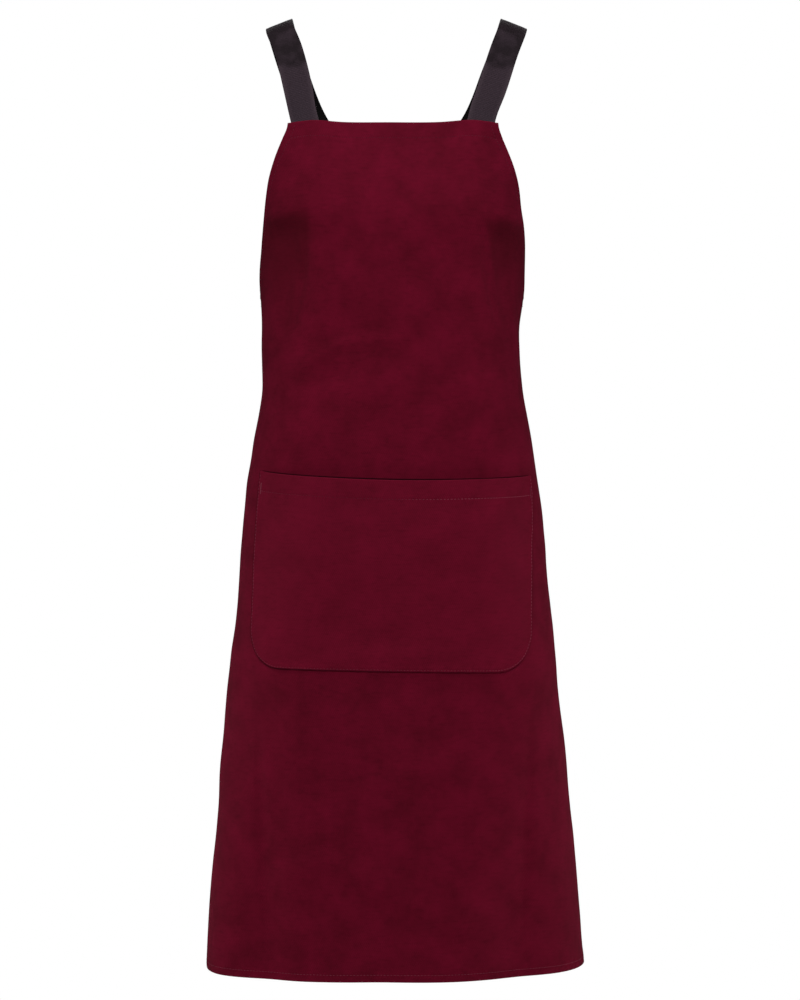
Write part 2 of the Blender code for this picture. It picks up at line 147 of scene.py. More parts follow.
# The free stretch of a strap, from the bib over the shoulder and across the back. right and
# left are how far out the straps over those shoulders lie, as shares of the strap spread,
# minus past the middle; forward is a share of the form's front depth, and of its back depth
# where minus; down is a share of the drop from the shoulders to the wing's corner; facing is
# the way the strap's face looks in degrees, 0 to the front, 90 up and 180 to the back; slope
# is how far that face tilts outwards in degrees.
ROUTE_COLUMNS = ("name", "right", "left", "forward", "down", "facing", "slope")
ROUTE = (
    ("collarbone", 0.792, 0.822, 0.515, 0.237, 26.0, 8.0),
    ("shoulder_front", 0.880, 0.938, 0.350, 0.110, 46.0, 16.0),
    ("shoulder_slope", 0.962, 1.018, 0.135, 0.032, 72.0, 20.0),
    ("shoulder_top", 0.974, 1.034, -0.090, 0.007, 97.0, 21.0),
    ("shoulder_back", 0.944, 0.996, -0.430, 0.043, 130.0, 18.0),
    ("upper_blade", 0.858, 0.892, -0.760, 0.135, 156.0, 9.0),
    ("blade", 0.710, 0.740, -0.950, 0.265, 173.0, 3.0),
    ("above_crossing", 0.300, 0.300, -1.000, 0.460, 180.0, 0.0),
    ("crossing", 0.000, 0.000, -1.000, 0.590, 180.0, 0.0),
    ("below_crossing", -0.300, -0.300, -0.985, 0.720, 180.0, 0.0),
    ("low_back", -0.560, -0.560, -0.860, 0.832, 190.0, -12.0),
)

# Soft square lights: where each stands, the point it looks at, its side in metres, its power
# in watts, and the angle its beam fans out over in degrees. The side ones stand on both sides
# as mirror images.
LIGHT_COLUMNS = ("name", "place", "aim", "size", "watts", "spread")
KEY_LIGHT = ("key", (0.0, -1.55, 0.08), (0.0, 0.0, -0.45), 0.7, 13.0, 180)
SIDE_LIGHTS = (
    ("top", (1.25, -0.35, 1.1), (0.0, 0.0, -0.3), 0.8, 14.0, 180),
    ("edge", (1.05, 0.2, -0.8), (0.0, 0.0, -0.8), 0.5, 0.55, 60),
)
BACK_LIGHT = ("back", (0.0, 2.8, 1.2), (0.0, 0.0, -0.5), 1.6, 40.0, 180)


def rows_of(table: Sequence[tuple], columns: Sequence[str]) -> list[dict]:
    """The rows of a table, each as a dict of its values by their columns' names."""
    return [dict(zip(columns, row)) for row in table]


# Curves


def eased(share: Array) -> Array:
    """From 0 to 1 with a soft start and end: three times the square less twice the cube."""
    t = np.clip(share, 0, 1)
    return t * t * (3 - 2 * t)


def bell(away: Array, before: float, after: float) -> Array:
    """1 at 0, falling as a Gaussian curve to about a third at the reach before it and after it."""
    return np.exp(-((away / np.where(away < 0, before, after)) ** 2))


def smooth(stations: Array, values: Array, at: Array) -> Array:
    """The smooth curve through values at stations: a cubic in each span, straight past its ends.

    Args:
        stations: where the values hold, rising.
        values: one value or one row of values for each station.
        at: where to read the curve.

    Returns:
        The curve's values.
    """
    slopes = np.gradient(values, stations, axis=0)
    within = np.clip(at, stations[0], stations[-1])
    i = np.clip(np.searchsorted(stations, within, side="right") - 1, 0, len(stations) - 2)
    span = stations[i + 1] - stations[i]
    t, past = (within - stations[i]) / span, at - within
    if np.ndim(values) > 1:
        t, span, past = t[:, None], span[:, None], past[:, None]
    return (
        values[i] * (2 * t**3 - 3 * t**2 + 1)
        + slopes[i] * span * (t**3 - 2 * t**2 + t)
        + values[i + 1] * (3 * t**2 - 2 * t**3)
        + slopes[i + 1] * span * (t**3 - t**2)
        + np.where(past < 0, slopes[i], slopes[i + 1]) * past
    )


def unit(vectors: Array) -> Array:
    """The vectors along the last axis, each made 1 long."""
    return vectors / np.linalg.norm(vectors, axis=-1, keepdims=True)


def run_of(points: Array) -> Array:
    """How far along a line each of its points lies: the running sum of its steps."""
    return np.concatenate([[0], np.cumsum(np.linalg.norm(np.diff(points, axis=0), axis=1))])


# Meshes


def shell_faces(rows: int, columns: int) -> Array:
    """Quads of a closed shell: an outer grid, an inner grid of the same size, and the rim.

    Args:
        rows: rows of each grid.
        columns: columns of each grid.

    Returns:
        Four corners a face, into the outer grid's points followed by the inner grid's.
    """
    index = np.arange(rows * columns).reshape(rows, columns)
    corners = (index[:-1, :-1], index[1:, :-1], index[1:, 1:], index[:-1, 1:])
    quads = np.stack(corners, axis=-1).reshape(-1, 4)
    ring = np.concatenate([index[0, :-1], index[:-1, -1], index[-1, :0:-1], index[:0:-1, 0]])
    after = np.roll(ring, -1)
    inner = rows * columns
    rim = np.stack([ring, after, after + inner, ring + inner], axis=-1)
    return np.concatenate([quads, quads[:, ::-1] + inner, rim])


def tube_faces(rings: int, around: int) -> Array:
    """Quads of a tube: rings of points, each joined to the next.

    Args:
        rings: how many rings.
        around: points in each ring.

    Returns:
        Four corners a face.
    """
    index = np.arange(rings * around).reshape(rings, around)
    turned = np.roll(index, -1, axis=1)
    return np.stack([index[:-1], index[1:], turned[1:], turned[:-1]], axis=-1).reshape(-1, 4)


def faces_out(points: Array, quads: Array) -> bool:
    """Whether the faces look outwards: the sum of the signed volumes under them is above 0."""
    a, b, c, d = (points[quads[:, k]] for k in range(4))
    return float(np.sum(a * (np.cross(b, c) + np.cross(c, d)))) > 0


def add_piece(
    name: str,
    points: Array,
    quads: Array,
    material: bpy.types.Material,
    uv: Array | None = None,
    shares: dict[str, Array] | None = None,
    caps: Array | None = None,
) -> bpy.types.Object:
    """Makes a piece with smooth shading, from whole arrays.

    Args:
        name: the piece's name.
        points: its points.
        quads: its quads.
        material: its finish.
        uv: a place on the cloth or webbing for each point, in metres.
        shares: further values for each point, by their attribute's name.
        caps: end faces, one row of corners each.

    Returns:
        The new object.
    """
    points, faces = points.reshape(-1, 3), quads
    turned = not faces_out(points, faces)
    rows = faces[:, ::-1].tolist() if turned else faces.tolist()
    if caps is not None:
        rows += caps[:, ::-1].tolist() if turned else caps.tolist()
    mesh = bpy.data.meshes.new(name)
    mesh.from_pydata(points.tolist(), [], rows)
    if uv is not None:
        corner = np.empty(len(mesh.loops), np.int32)
        mesh.loops.foreach_get("vertex_index", corner)
        layer = mesh.uv_layers.new(name="cloth")
        layer.data.foreach_set("uv", uv.reshape(-1, 2)[corner].astype(np.float32).ravel())
    for label, values in (shares or {}).items():
        attribute = mesh.attributes.new(label, "FLOAT", "POINT")
        attribute.data.foreach_set("value", values.astype(np.float32).ravel())
    mesh.materials.append(material)
    mesh.shade_smooth()
    mesh.update()
    made = bpy.data.objects.new(name, mesh)
    bpy.context.scene.collection.objects.link(made)
    LOG.info("%s: %d faces", name, len(rows))
    return made


# Finishes


def linear(colour: str) -> tuple[float, float, float, float]:
    """An sRGB hex colour as linear red, green, blue and full alpha.

    The standard's curve is straight near black, and a power of 2.4 above that.

    Args:
        colour: six hex digits after a hash.

    Returns:
        The linear colour.
    """
    shares = [int(colour[k : k + 2], 16) / 255 for k in (1, 3, 5)]
    red, green, blue = (s / 12.92 if s <= 0.04045 else ((s + 0.055) / 1.055) ** 2.4 for s in shares)
    return red, green, blue, 1.0


def add_node(
    tree: bpy.types.NodeTree,
    kind: str,
    settings: dict | None = None,
    inputs: dict | None = None,
    out: str | int = 0,
) -> Socket | None:
    """Adds a node with its settings and its inputs.

    Args:
        tree: the node tree it goes into.
        kind: the node's type.
        settings: its properties, by name.
        inputs: by the input's name or number, a value or the output that feeds it.
        out: the name or number of the output that is used.

    Returns:
        That output, or None where the node has none.
    """
    node = tree.nodes.new(kind)
    for label, value in (settings or {}).items():
        setattr(node, label, value)
    for label, value in (inputs or {}).items():
        if isinstance(value, Socket):
            tree.links.new(value, node.inputs[label])
        else:
            node.inputs[label].default_value = value
    return node.outputs[out] if node.outputs else None


def new_material(name: str) -> tuple[bpy.types.Material, bpy.types.NodeTree, bpy.types.Node]:
    """A new material, its node tree and its shader.

    Args:
        name: the material's name.

    Returns:
        The material, its tree and its Principled BSDF node.
    """
    made = bpy.data.materials.new(name)
    made.use_nodes = True
    return made, made.node_tree, made.node_tree.nodes["Principled BSDF"]


@dataclass(frozen=True)
class TextileFinish:
    """What the finishes of cloth, webbing and thread share."""

    name: str
    colour: str
    roughness: float
    specular: float
    relief: float
    relief_height: float

    def dress(
        self,
        tree: bpy.types.NodeTree,
        shader: bpy.types.Node,
        layers: Sequence[tuple[Socket, str]],
        height: Socket,
        brightness: Socket | None = None,
    ) -> None:
        """Gives the shader its colour, its relief and its gloss.

        Args:
            tree: the node tree.
            shader: its shader.
            layers: further colours over the first one, each with the share that it shows.
            height: the relief's height, as a share.
            brightness: what the colour is multiplied by.
        """
        colour = linear(self.colour)
        for share, shown in layers:
            inputs = {"Factor": share, "A": colour, "B": linear(shown)}
            colour = add_node(tree, "ShaderNodeMix", {"data_type": "RGBA"}, inputs, "Result")
        if brightness is not None:
            inputs = {0: colour, "Scale": brightness}
            colour = add_node(tree, "ShaderNodeVectorMath", {"operation": "SCALE"}, inputs)
        inputs = {"Height": height, "Strength": self.relief, "Distance": self.relief_height}
        bump = add_node(tree, "ShaderNodeBump", inputs=inputs)
        tree.links.new(colour, shader.inputs["Base Color"])
        tree.links.new(bump, shader.inputs["Normal"])
        shader.inputs["Roughness"].default_value = self.roughness
        shader.inputs["Specular IOR Level"].default_value = self.specular


@dataclass(frozen=True)
class CottonDrill(TextileFinish):
    """Piece-dyed cotton drill: a close diagonal twill of spun yarn.

    It gives the eye a matt deep red with a faint diagonal grain, soft slubs along the weft,
    short crinkles left from washing as dark wisps of painted shade, and a slight bloom where the cloth turns
    away.
    """

    name: str = "woven_cotton_drill_burgundy"
    colour: str = "#660C24"
    deep: str = "#570A1D"
    worn: str = "#6F1129"
    # Painted shade: a darker red under the bust.
    under_bust_shade: str = "#480A16"
    # Painted shadow: a near black, behind the pocket's mouth and along the pocket's edges.
    painted_shadow_colour: str = "#22040C"
    roughness: float = 0.9
    specular: float = 0.03
    sheen: float = 0.02
    sheen_roughness: float = 0.5
    sheen_tint: str = "#A03A5A"
    twill_pitch: float = 0.0018  # real drill has about 0.9 mm, drawn twice as coarse to show
    twill_lean: float = math.radians(-27)
    twill_wander: float = 0.6
    slub_length: float = 0.009
    slub_width: float = 0.0022
    mottle: float = 0.036
    mottled: tuple[float, float] = (0.34, 0.66)
    grained: tuple[float, float] = (0.2, 1.8)
    grain: float = 0.13
    crinkle_length: float = 0.011
    crinkle_width: float = 0.0034
    crinkled: tuple[float, float] = (0.5, 0.72)
    # Painted shade: how much darker the crinkles' wisps are drawn.
    crinkle_darkening: float = 0.16
    relief: float = 0.35
    relief_height: float = 0.0001

    def material(self) -> bpy.types.Material:
        """Builds the material.

        Returns:
            The finished material.
        """
        made, tree, shader = new_material(self.name)
        place = add_node(tree, "ShaderNodeUVMap", {"uv_map": "cloth"})
        noise = {}
        for label, long, wide, detail, roughness in (
            ("slubs", self.slub_length, self.slub_width, 2.0, 0.5),
            ("clouds", self.mottle, self.mottle, 5.0, 0.6),
            ("crinkles", self.crinkle_length, self.crinkle_width, 4.0, 0.65),
        ):
            scaled = add_node(tree, "ShaderNodeMapping", inputs={0: place, "Scale": (1 / long, 1 / wide, 1)})
            noise[label] = add_node(
                tree,
                "ShaderNodeTexNoise",
                inputs={"Vector": scaled, "Scale": 1.0, "Detail": detail, "Roughness": roughness},
                out="Fac",
            )
        turned = add_node(tree, "ShaderNodeMapping", inputs={0: place, "Rotation": (0, 0, self.twill_lean)})
        # A wave texture has one band every 2 pi / 20 of its space at scale 1.
        twill = add_node(
            tree,
            "ShaderNodeTexWave",
            {"wave_type": "BANDS", "bands_direction": "X"},
            {
                "Vector": turned,
                "Scale": 2 * math.pi / 20 / self.twill_pitch,
                "Distortion": self.twill_wander,
                "Detail": 1.0,
            },
            "Fac",
        )
        yarn = add_node(tree, "ShaderNodeMath", {"operation": "ADD"}, {0: noise["slubs"], 1: twill})
        ranged = {}
        for label, value, (low, high), start, end in (
            ("blotches", noise["clouds"], self.mottled, 0, 1),
            ("grain", yarn, self.grained, 1 - self.grain, 1 + self.grain),
            ("crinkle_shade", noise["crinkles"], self.crinkled, 1, 1 - self.crinkle_darkening),
        ):
            ranged[label] = add_node(
                tree,
                "ShaderNodeMapRange",
                inputs={"Value": value, "From Min": low, "From Max": high, "To Min": start, "To Max": end},
            )
        # All shares but the first are painted on the mesh: the shade painted under the bust, the wear, and
        # the shadow painted behind the pocket's mouth and along its edges.
        layers = [(ranged["blotches"], self.deep)]
        for painted, shown in (("under_bust_shade", self.under_bust_shade), ("wear", self.worn), ("painted_shadow", self.painted_shadow_colour)):
            share = add_node(tree, "ShaderNodeAttribute", {"attribute_name": painted}, out="Fac")
            layers.append((share, shown))
        dimmed = add_node(
            tree, "ShaderNodeMath", {"operation": "MULTIPLY"}, {0: ranged["grain"], 1: ranged["crinkle_shade"]}
        )
        self.dress(tree, shader, layers, yarn, dimmed)
        shader.inputs["Sheen Weight"].default_value = self.sheen
        shader.inputs["Sheen Roughness"].default_value = self.sheen_roughness
        shader.inputs["Sheen Tint"].default_value = linear(self.sheen_tint)
        return made


@dataclass(frozen=True)
class CottonWebbing(TextileFinish):
    """Narrow-loom cotton webbing: heavy cross ribs between two bound selvedges.

    It gives the eye a near-black purple brown with fine ribs, a dull gloss painted lighter on the
    ribs' crests, a selvedge painted paler as an edge highlight, a darker stretch on the shoulders,
    and an inner face painted near black as shade.
    """

    name: str = "woven_cotton_webbing_black_brown"
    colour: str = "#2C2128"
    # Painted highlight: the ribs' crests drawn lighter as a dull gloss.
    crest_gloss: str = "#382C34"
    # Painted highlight: the selvedge drawn paler, as the light along the strap's edges.
    selvedge: str = "#3E3239"
    # A darker colour, shown in random clouds and, more, over the shoulders.
    darker_tone: str = "#1C1318"
    # Painted shade: the inner face drawn near black.
    inside: str = "#0B0809"
    roughness: float = 0.7
    specular: float = 0.1
    yarn: float = 0.0016  # real yarns are about 0.8 mm, drawn twice as coarse to show
    flecked: tuple[float, float] = (0.3, 0.7)
    fleck: float = 0.22
    cloud_size: float = 0.022
    shoulder_darkening: float = 0.30
    darkened_range: tuple[float, float] = (0.58, 0.82)
    darkening: float = 0.95
    relief: float = 0.5
    relief_height: float = 0.0002

    def material(self) -> bpy.types.Material:
        """Builds the material.

        Returns:
            The finished material.
        """
        made, tree, shader = new_material(self.name)
        place = add_node(tree, "ShaderNodeUVMap", {"uv_map": "cloth"})
        noise = {}
        for label, size, detail in (("specks", self.yarn, 2.0), ("clouds", self.cloud_size, 4.0)):
            inputs = {"Vector": place, "Scale": 1 / size, "Detail": detail}
            noise[label] = add_node(tree, "ShaderNodeTexNoise", inputs=inputs, out="Fac")
        painted = {
            label: add_node(tree, "ShaderNodeAttribute", {"attribute_name": label}, out="Fac")
            for label in ("rib", "selvedge", "handled", "inside")
        }
        darkening = add_node(
            tree,
            "ShaderNodeMath",
            {"operation": "MULTIPLY_ADD"},
            {0: painted["handled"], 1: self.shoulder_darkening, 2: noise["clouds"]},
        )
        ranged = {}
        for label, value, (low, high), start, end in (
            ("darkened", darkening, self.darkened_range, 0, self.darkening),
            ("flecks", noise["specks"], self.flecked, 1 - self.fleck, 1 + self.fleck),
        ):
            ranged[label] = add_node(
                tree,
                "ShaderNodeMapRange",
                inputs={"Value": value, "From Min": low, "From Max": high, "To Min": start, "To Max": end},
            )
        # Painted highlights on the ribs' crests and on the selvedge, painted shade on the inner face.
        layers = (
            (painted["rib"], self.crest_gloss),
            (painted["selvedge"], self.selvedge),
            (ranged["darkened"], self.darker_tone),
            (painted["inside"], self.inside),
        )
        self.dress(tree, shader, layers, noise["specks"], ranged["flecks"])
        return made


@dataclass(frozen=True)
class SewingThread(TextileFinish):
    """Spun polyester-cotton sewing thread, two plies.

    It gives the eye small dashes, here as deep as the cloth and there a lighter dusty rose,
    a painted highlight where the thread catches the light.
    """

    name: str = "spun_sewing_thread_dusty_rose"
    colour: str = "#5A1226"
    # Painted highlight on the thread, on parts of the rows.
    proud: str = "#A85A6E"
    roughness: float = 0.7
    specular: float = 0.1
    fuzz: float = 1 / 900
    relief: float = 0.3
    relief_height: float = 0.0001

    def material(self) -> bpy.types.Material:
        """Builds the material.

        Returns:
            The finished material.
        """
        made, tree, shader = new_material(self.name)
        place = add_node(tree, "ShaderNodeTexCoord", out="Object")
        inputs = {"Vector": place, "Scale": 1 / self.fuzz, "Detail": 2.0}
        fuzz = add_node(tree, "ShaderNodeTexNoise", inputs=inputs, out="Fac")
        pale = add_node(tree, "ShaderNodeAttribute", {"attribute_name": "pale"}, out="Fac")
        self.dress(tree, shader, [(pale, self.proud)], fuzz)
        return made


@dataclass(frozen=True)
class StudioFloor:
    """Matt painted studio floor. It gives the eye an even pale ground."""

    name: str = "painted_floor_pale"
    colour: str = "#F4F2EE"
    roughness: float = 0.8

    def material(self) -> bpy.types.Material:
        """Builds the material.

        Returns:
            The finished material.
        """
        made, _, shader = new_material(self.name)
        shader.inputs["Base Color"].default_value = linear(self.colour)
        shader.inputs["Roughness"].default_value = self.roughness
        return made


# The cloth's form


@dataclass(frozen=True)
class Cut:
    """The cut of the bib and skirt, laid flat, as half widths at each drop."""

    height: float = 0.878
    bib_half: float = 0.111
    wing_half: float = 0.287
    hem_half: float = 0.352
    armhole_depth: float = 0.232
    armhole_run: float = 0.145
    armhole_start: float = 0.04
    armhole_sweep: float = 5.0
    corner_reach: float = 0.012
    slope_step: float = 0.0005
    edge_points: int = 500
    area_points: int = 2000

    def half(self, drop: Array) -> Array:
        """The half width: the armhole turns, runs evenly and sweeps out, then the back edge slopes.

        Args:
            drop: drops below the bib's top edge.

        Returns:
            The half widths.
        """
        t = np.clip(drop / self.armhole_depth, 0, 1)
        start = self.armhole_start
        sweep = self.wing_half - self.bib_half - self.armhole_run * (math.hypot(1, start) - start)
        turned = np.hypot(t, start) - start
        armhole = self.bib_half + self.armhole_run * turned + sweep * t**self.armhole_sweep
        flare = np.clip((drop - self.armhole_depth) / (self.height - self.armhole_depth), 0, 1)
        return armhole + (self.hem_half - self.wing_half) * flare

    def stretch(self, drop: Array) -> Array:
        """How much further a step across is than the same step square to the side edge.

        Args:
            drop: drops below the bib's top edge.

        Returns:
            Square root of 1 and the edge's slope squared, eased off at the wing's corner.
        """
        step = self.slope_step
        slope = (self.half(drop + step) - self.half(drop - step)) / (2 * step)
        to_corner = self.armhole_depth - drop
        inside_armhole = np.where(to_corner > 0, eased(to_corner / self.corner_reach), 1)
        return np.hypot(1, slope * inside_armhole)

    def edge_run(self, drop: Array) -> Array:
        """How far along the side edge a drop lies, from the bib's corner."""
        at = np.linspace(0, self.height, self.edge_points)
        return np.interp(drop, at, run_of(np.stack([self.half(at), at], axis=1)))

    def area(self) -> float:
        """The flat area: twice the half widths summed down the height."""
        at = np.linspace(0, self.height, self.area_points)
        halves = self.half(at)
        return float(np.sum((halves[1:] + halves[:-1]) * np.diff(at)))


@dataclass
class HangingForm:
    """The surface that the worn cloth lies on, as a fine lattice that is read smoothly.

    The lattice's rows are level sections of the form, each walked outwards from the centre
    front by the distance across the cut.
    """

    cut: Cut
    shoulder_drop: float = 0.118
    half_width: float = 0.139
    front_depth: float = 0.120
    back_depth: float = 0.100
    fold_lift: float = 0.010
    bib_rise: float = 0.003
    bib_rise_at: float = 0.083
    bib_rise_reach: float = 0.025
    crease_lift: float = 0.0028
    crease_end_reach: float = 0.35
    crease_end_lift: float = 0.15
    rumple: float = 0.00035
    rumple_short: float = 0.028
    rumple_long: float = 0.15
    rumple_growth: float = 1.3
    rumple_waves: int = 90
    rumple_seed: int = 7
    lead: float = 0.03
    drop_step: float = 0.002
    across_step: float = 0.001
    normal_step: float = 0.0006
    outline_points: int = 721
    drops: Array = field(init=False)
    acrosses: Array = field(init=False)
    lattice: Array = field(init=False)
    wave_long: Array = field(init=False)
    wave_way: Array = field(init=False)
    wave_start: Array = field(init=False)

    def __post_init__(self) -> None:
        """Works out the lattice and the rumple's waves."""
        self.drops = np.arange(-self.lead, self.cut.height + self.lead, self.drop_step)
        reach = self.cut.hem_half + self.lead
        self.acrosses = np.arange(-reach, reach, self.across_step)
        self.lattice = self.sections()
        chance = np.random.default_rng(self.rumple_seed)
        shortest, longest = math.log(self.rumple_short), math.log(self.rumple_long)
        self.wave_long = np.exp(chance.uniform(shortest, longest, self.rumple_waves))
        turn = chance.uniform(0, math.pi, self.rumple_waves)
        self.wave_way = np.stack([np.cos(turn), np.sin(turn)])
        self.wave_start = chance.uniform(0, 2 * math.pi, self.rumple_waves)

    def sections(self) -> Array:
        """Walks every level section: a rounded outline, lifted along its normal by the main folds.

        Returns:
            Points, by drop and by distance across.
        """
        table = rows_of(FORM, FORM_COLUMNS)
        stations = np.array([row["drop"] for row in table])
        share = self.drops / self.cut.height
        here = {
            name: smooth(stations, np.array([row[name] for row in table]), share)[:, None]
            for name in FORM_COLUMNS[1:]
        }
        angle = np.linspace(0, math.pi, self.outline_points)
        sine, cosine = np.sin(angle), np.cos(angle)
        depth = np.where(cosine >= 0, here["front"] * self.front_depth, here["back"] * self.back_depth)
        lift = self.main_folds(self.acrosses[None, :], self.drops[:, None])
        points = np.zeros((len(self.drops), len(self.acrosses), 3))
        for side in Side:
            hand = side.name.lower()
            mine = self.acrosses < 0 if side is Side.RIGHT else self.acrosses >= 0
            square = here[hand + "_square"]
            wide = np.abs(sine / (here[hand] * self.half_width)) ** square
            radius = (wide + np.abs(cosine / depth) ** square) ** (-1 / square)
            outline = np.stack([radius * sine, -radius * cosine], axis=-1)
            steps = np.diff(outline, axis=1)
            lengths = np.linalg.norm(steps, axis=2)
            reach = np.abs(self.acrosses[mine])
            for row, (line, step, length) in enumerate(zip(outline, steps, lengths)):
                along = np.concatenate([[0], np.cumsum(length)])
                middles = (along[1:] + along[:-1]) / 2
                way = unit(
                    np.stack([np.interp(reach, middles, step[:, k] / length) for k in (0, 1)], axis=1)
                )
                x, y = (np.interp(reach, along, line[:, k]) for k in (0, 1))
                points[row, mine, 0] = side.value * (x + lift[row, mine] * way[:, 1])
                points[row, mine, 1] = y - lift[row, mine] * way[:, 0]
        from_strap = np.abs(self.acrosses) - self.bib_rise_at
        rise = self.bib_rise * bell(from_strap, self.bib_rise_reach, self.bib_rise_reach)
        fading = 1 - eased(self.drops / self.cut.armhole_depth)
        points[:, :, 2] = -self.shoulder_drop - self.drops[:, None] + rise * fading[:, None]
        return points

    def main_folds(self, across: Array, drop: Array) -> Array:
        """The main folds' lift: for each fold, a bell across times a bell down.

        Args:
            across, drop: places on the cloth.

        Returns:
            The lift.
        """
        across, drop = np.broadcast_arrays(across / self.cut.hem_half, drop / self.cut.height)
        total = np.zeros_like(across)
        for fold in rows_of(FOLDS, FOLD_COLUMNS):
            outwards = (across - fold["across"]) * np.sign(fold["across"])
            sideways = bell(outwards, fold["inner"], fold["outer"])
            total += fold["lift"] * sideways * bell(drop - fold["drop"], fold["above"], fold["below"])
        return self.fold_lift * total

    def fine_folds(self, across: Array, drop: Array) -> Array:
        """The fine creases and the rumple.

        A crease is a bell of the distance to its line. The rumple is a sum of plane waves whose
        height follows their length.

        Args:
            across, drop: places on the cloth.

        Returns:
            The lift.
        """
        total = np.zeros(np.broadcast_shapes(np.shape(across), np.shape(drop)))
        for crease in rows_of(CREASES, CREASE_COLUMNS):
            start = np.array([crease["across"] * self.cut.hem_half, crease["drop"] * self.cut.height])
            end = np.array([crease["to_across"] * self.cut.hem_half, crease["to_drop"] * self.cut.height])
            way = end - start
            t = ((across - start[0]) * way[0] + (drop - start[1]) * way[1]) / (way @ way)
            on = np.clip(t, 0, 1)
            away = np.hypot(across - start[0] - on * way[0], drop - start[1] - on * way[1])
            swell = np.sin(math.pi * on)
            full = crease["reach"] * self.cut.hem_half
            reach = full * (self.crease_end_reach + (1 - self.crease_end_reach) * swell)
            strength = self.crease_end_lift + (1 - self.crease_end_lift) * swell
            total += crease["lift"] * self.crease_lift * strength * bell(away, 1, reach)
        flat = np.stack([np.broadcast_to(part, total.shape).ravel() for part in (across, drop)])
        heights = (self.wave_long / self.wave_long.mean()) ** self.rumple_growth * self.rumple
        waves = np.zeros(flat.shape[1])
        for way, long, start, height in zip(self.wave_way.T, self.wave_long, self.wave_start, heights):
            waves += height * np.sin(2 * math.pi / long * (way @ flat) + start)
        return total + waves.reshape(total.shape) / math.sqrt(self.rumple_waves / 2)

    def read(self, across: Array, drop: Array) -> Array:
        """Reads the lattice with a cubic in each direction through the four nearest points.

        Args:
            across, drop: places on the cloth.

        Returns:
            The points.
        """
        across, drop = np.broadcast_arrays(across, drop)
        spots = []
        for values, first, step, count in (
            (drop, self.drops[0], self.drop_step, len(self.drops)),
            (across, self.acrosses[0], self.across_step, len(self.acrosses)),
        ):
            place = (values - first) / step
            cell = np.clip(np.floor(place).astype(int), 1, count - 3)
            t = place - cell
            weights = (
                (-t + 2 * t**2 - t**3) / 2,
                (2 - 5 * t**2 + 3 * t**3) / 2,
                (t + 4 * t**2 - 3 * t**3) / 2,
                (-(t**2) + t**3) / 2,
            )
            spots.append((cell, weights))
        (row, down), (column, sideways) = spots
        total = np.zeros(across.shape + (3,))
        for i in range(4):
            for j in range(4):
                weight = down[i] * sideways[j]
                total += weight[..., None] * self.lattice[row + i - 1, column + j - 1]
        return total

    def normal(self, across: Array, drop: Array) -> Array:
        """The way out of the form: the cross product of a step down and a step across.

        Args:
            across, drop: places on the cloth.

        Returns:
            Unit vectors.
        """
        step = self.normal_step
        down = self.read(across, drop + step) - self.read(across, drop - step)
        sideways = self.read(across + step, drop) - self.read(across - step, drop)
        return unit(np.cross(down, sideways))

    def stand_off(self, across: Array, drop: Array, distance: Array) -> Array:
        """Points that stand off the form and its fine folds by a distance.

        Args:
            across, drop: places on the cloth.
            distance: along the way out, minus inwards.

        Returns:
            The points.
        """
        across, drop = np.broadcast_arrays(np.asarray(across, float), np.asarray(drop, float))
        out = np.asarray(distance) + self.fine_folds(across, drop)
        return self.read(across, drop) + self.normal(across, drop) * out[..., None]


# Cloth


@dataclass(frozen=True)
class Hem:
    """A turned hem's sizes, and the relief that its stitching gives the cloth's face."""

    width: float
    stitch_at: float
    channel: float = 0.00025
    channel_reach: float = 0.0013
    swell: float = 0.00018
    swell_fall: float = 0.0012
    pucker: float = 0.00022
    pucker_long: float = 0.013
    pucker_reach: float = 0.006
    wander: float = 1.7
    wander_long: float = 5.3
    second: float = 0.5
    second_pitch: float = 0.57
    second_start: float = 1.0
    calm_edge: float = 0.002

    def relief(self, away: Array, run: Array) -> Array:
        """The face's height: a channel at the stitches, a swell over the fold, and puckers.

        The puckers are two sines along the hem, of which the first wanders, under a bell across it.

        Args:
            away: distance from the folded edge.
            run: distance along the hem.

        Returns:
            The height.
        """
        from_stitch = away - self.stitch_at
        channel = -self.channel * bell(from_stitch, self.channel_reach, self.channel_reach)
        swell = self.swell * (1 - eased((away - self.width) / self.swell_fall + 0.5))
        turn = 2 * math.pi * run / self.pucker_long
        ripple = np.sin(turn + self.wander * np.sin(turn / self.wander_long))
        ripple = ripple + self.second * np.sin(turn * self.second_pitch + self.second_start)
        pucker = self.pucker * ripple * bell(from_stitch, self.pucker_reach, self.pucker_reach)
        return channel + swell + pucker * eased(away / self.calm_edge)


def round_over(away: Array, thickness: Array) -> Array:
    """How far a face falls back near a folded edge: a quarter round as deep as the fold's half.

    Args:
        away: distance from the edge.
        thickness: the fold's thickness.

    Returns:
        The fall.
    """
    radius = FOLD_ROUND * thickness
    inwards = radius - np.clip(away, 0, radius)
    return radius - np.sqrt(np.maximum(radius**2 - inwards**2, 0))


def edge_steps(*stretches: tuple[float, float, int]) -> Array:
    """Distances from an edge in stretches, each with its start, its end and its number of steps."""
    runs = [np.linspace(start, end, count, endpoint=False) for start, end, count in stretches]
    return np.concatenate(runs)


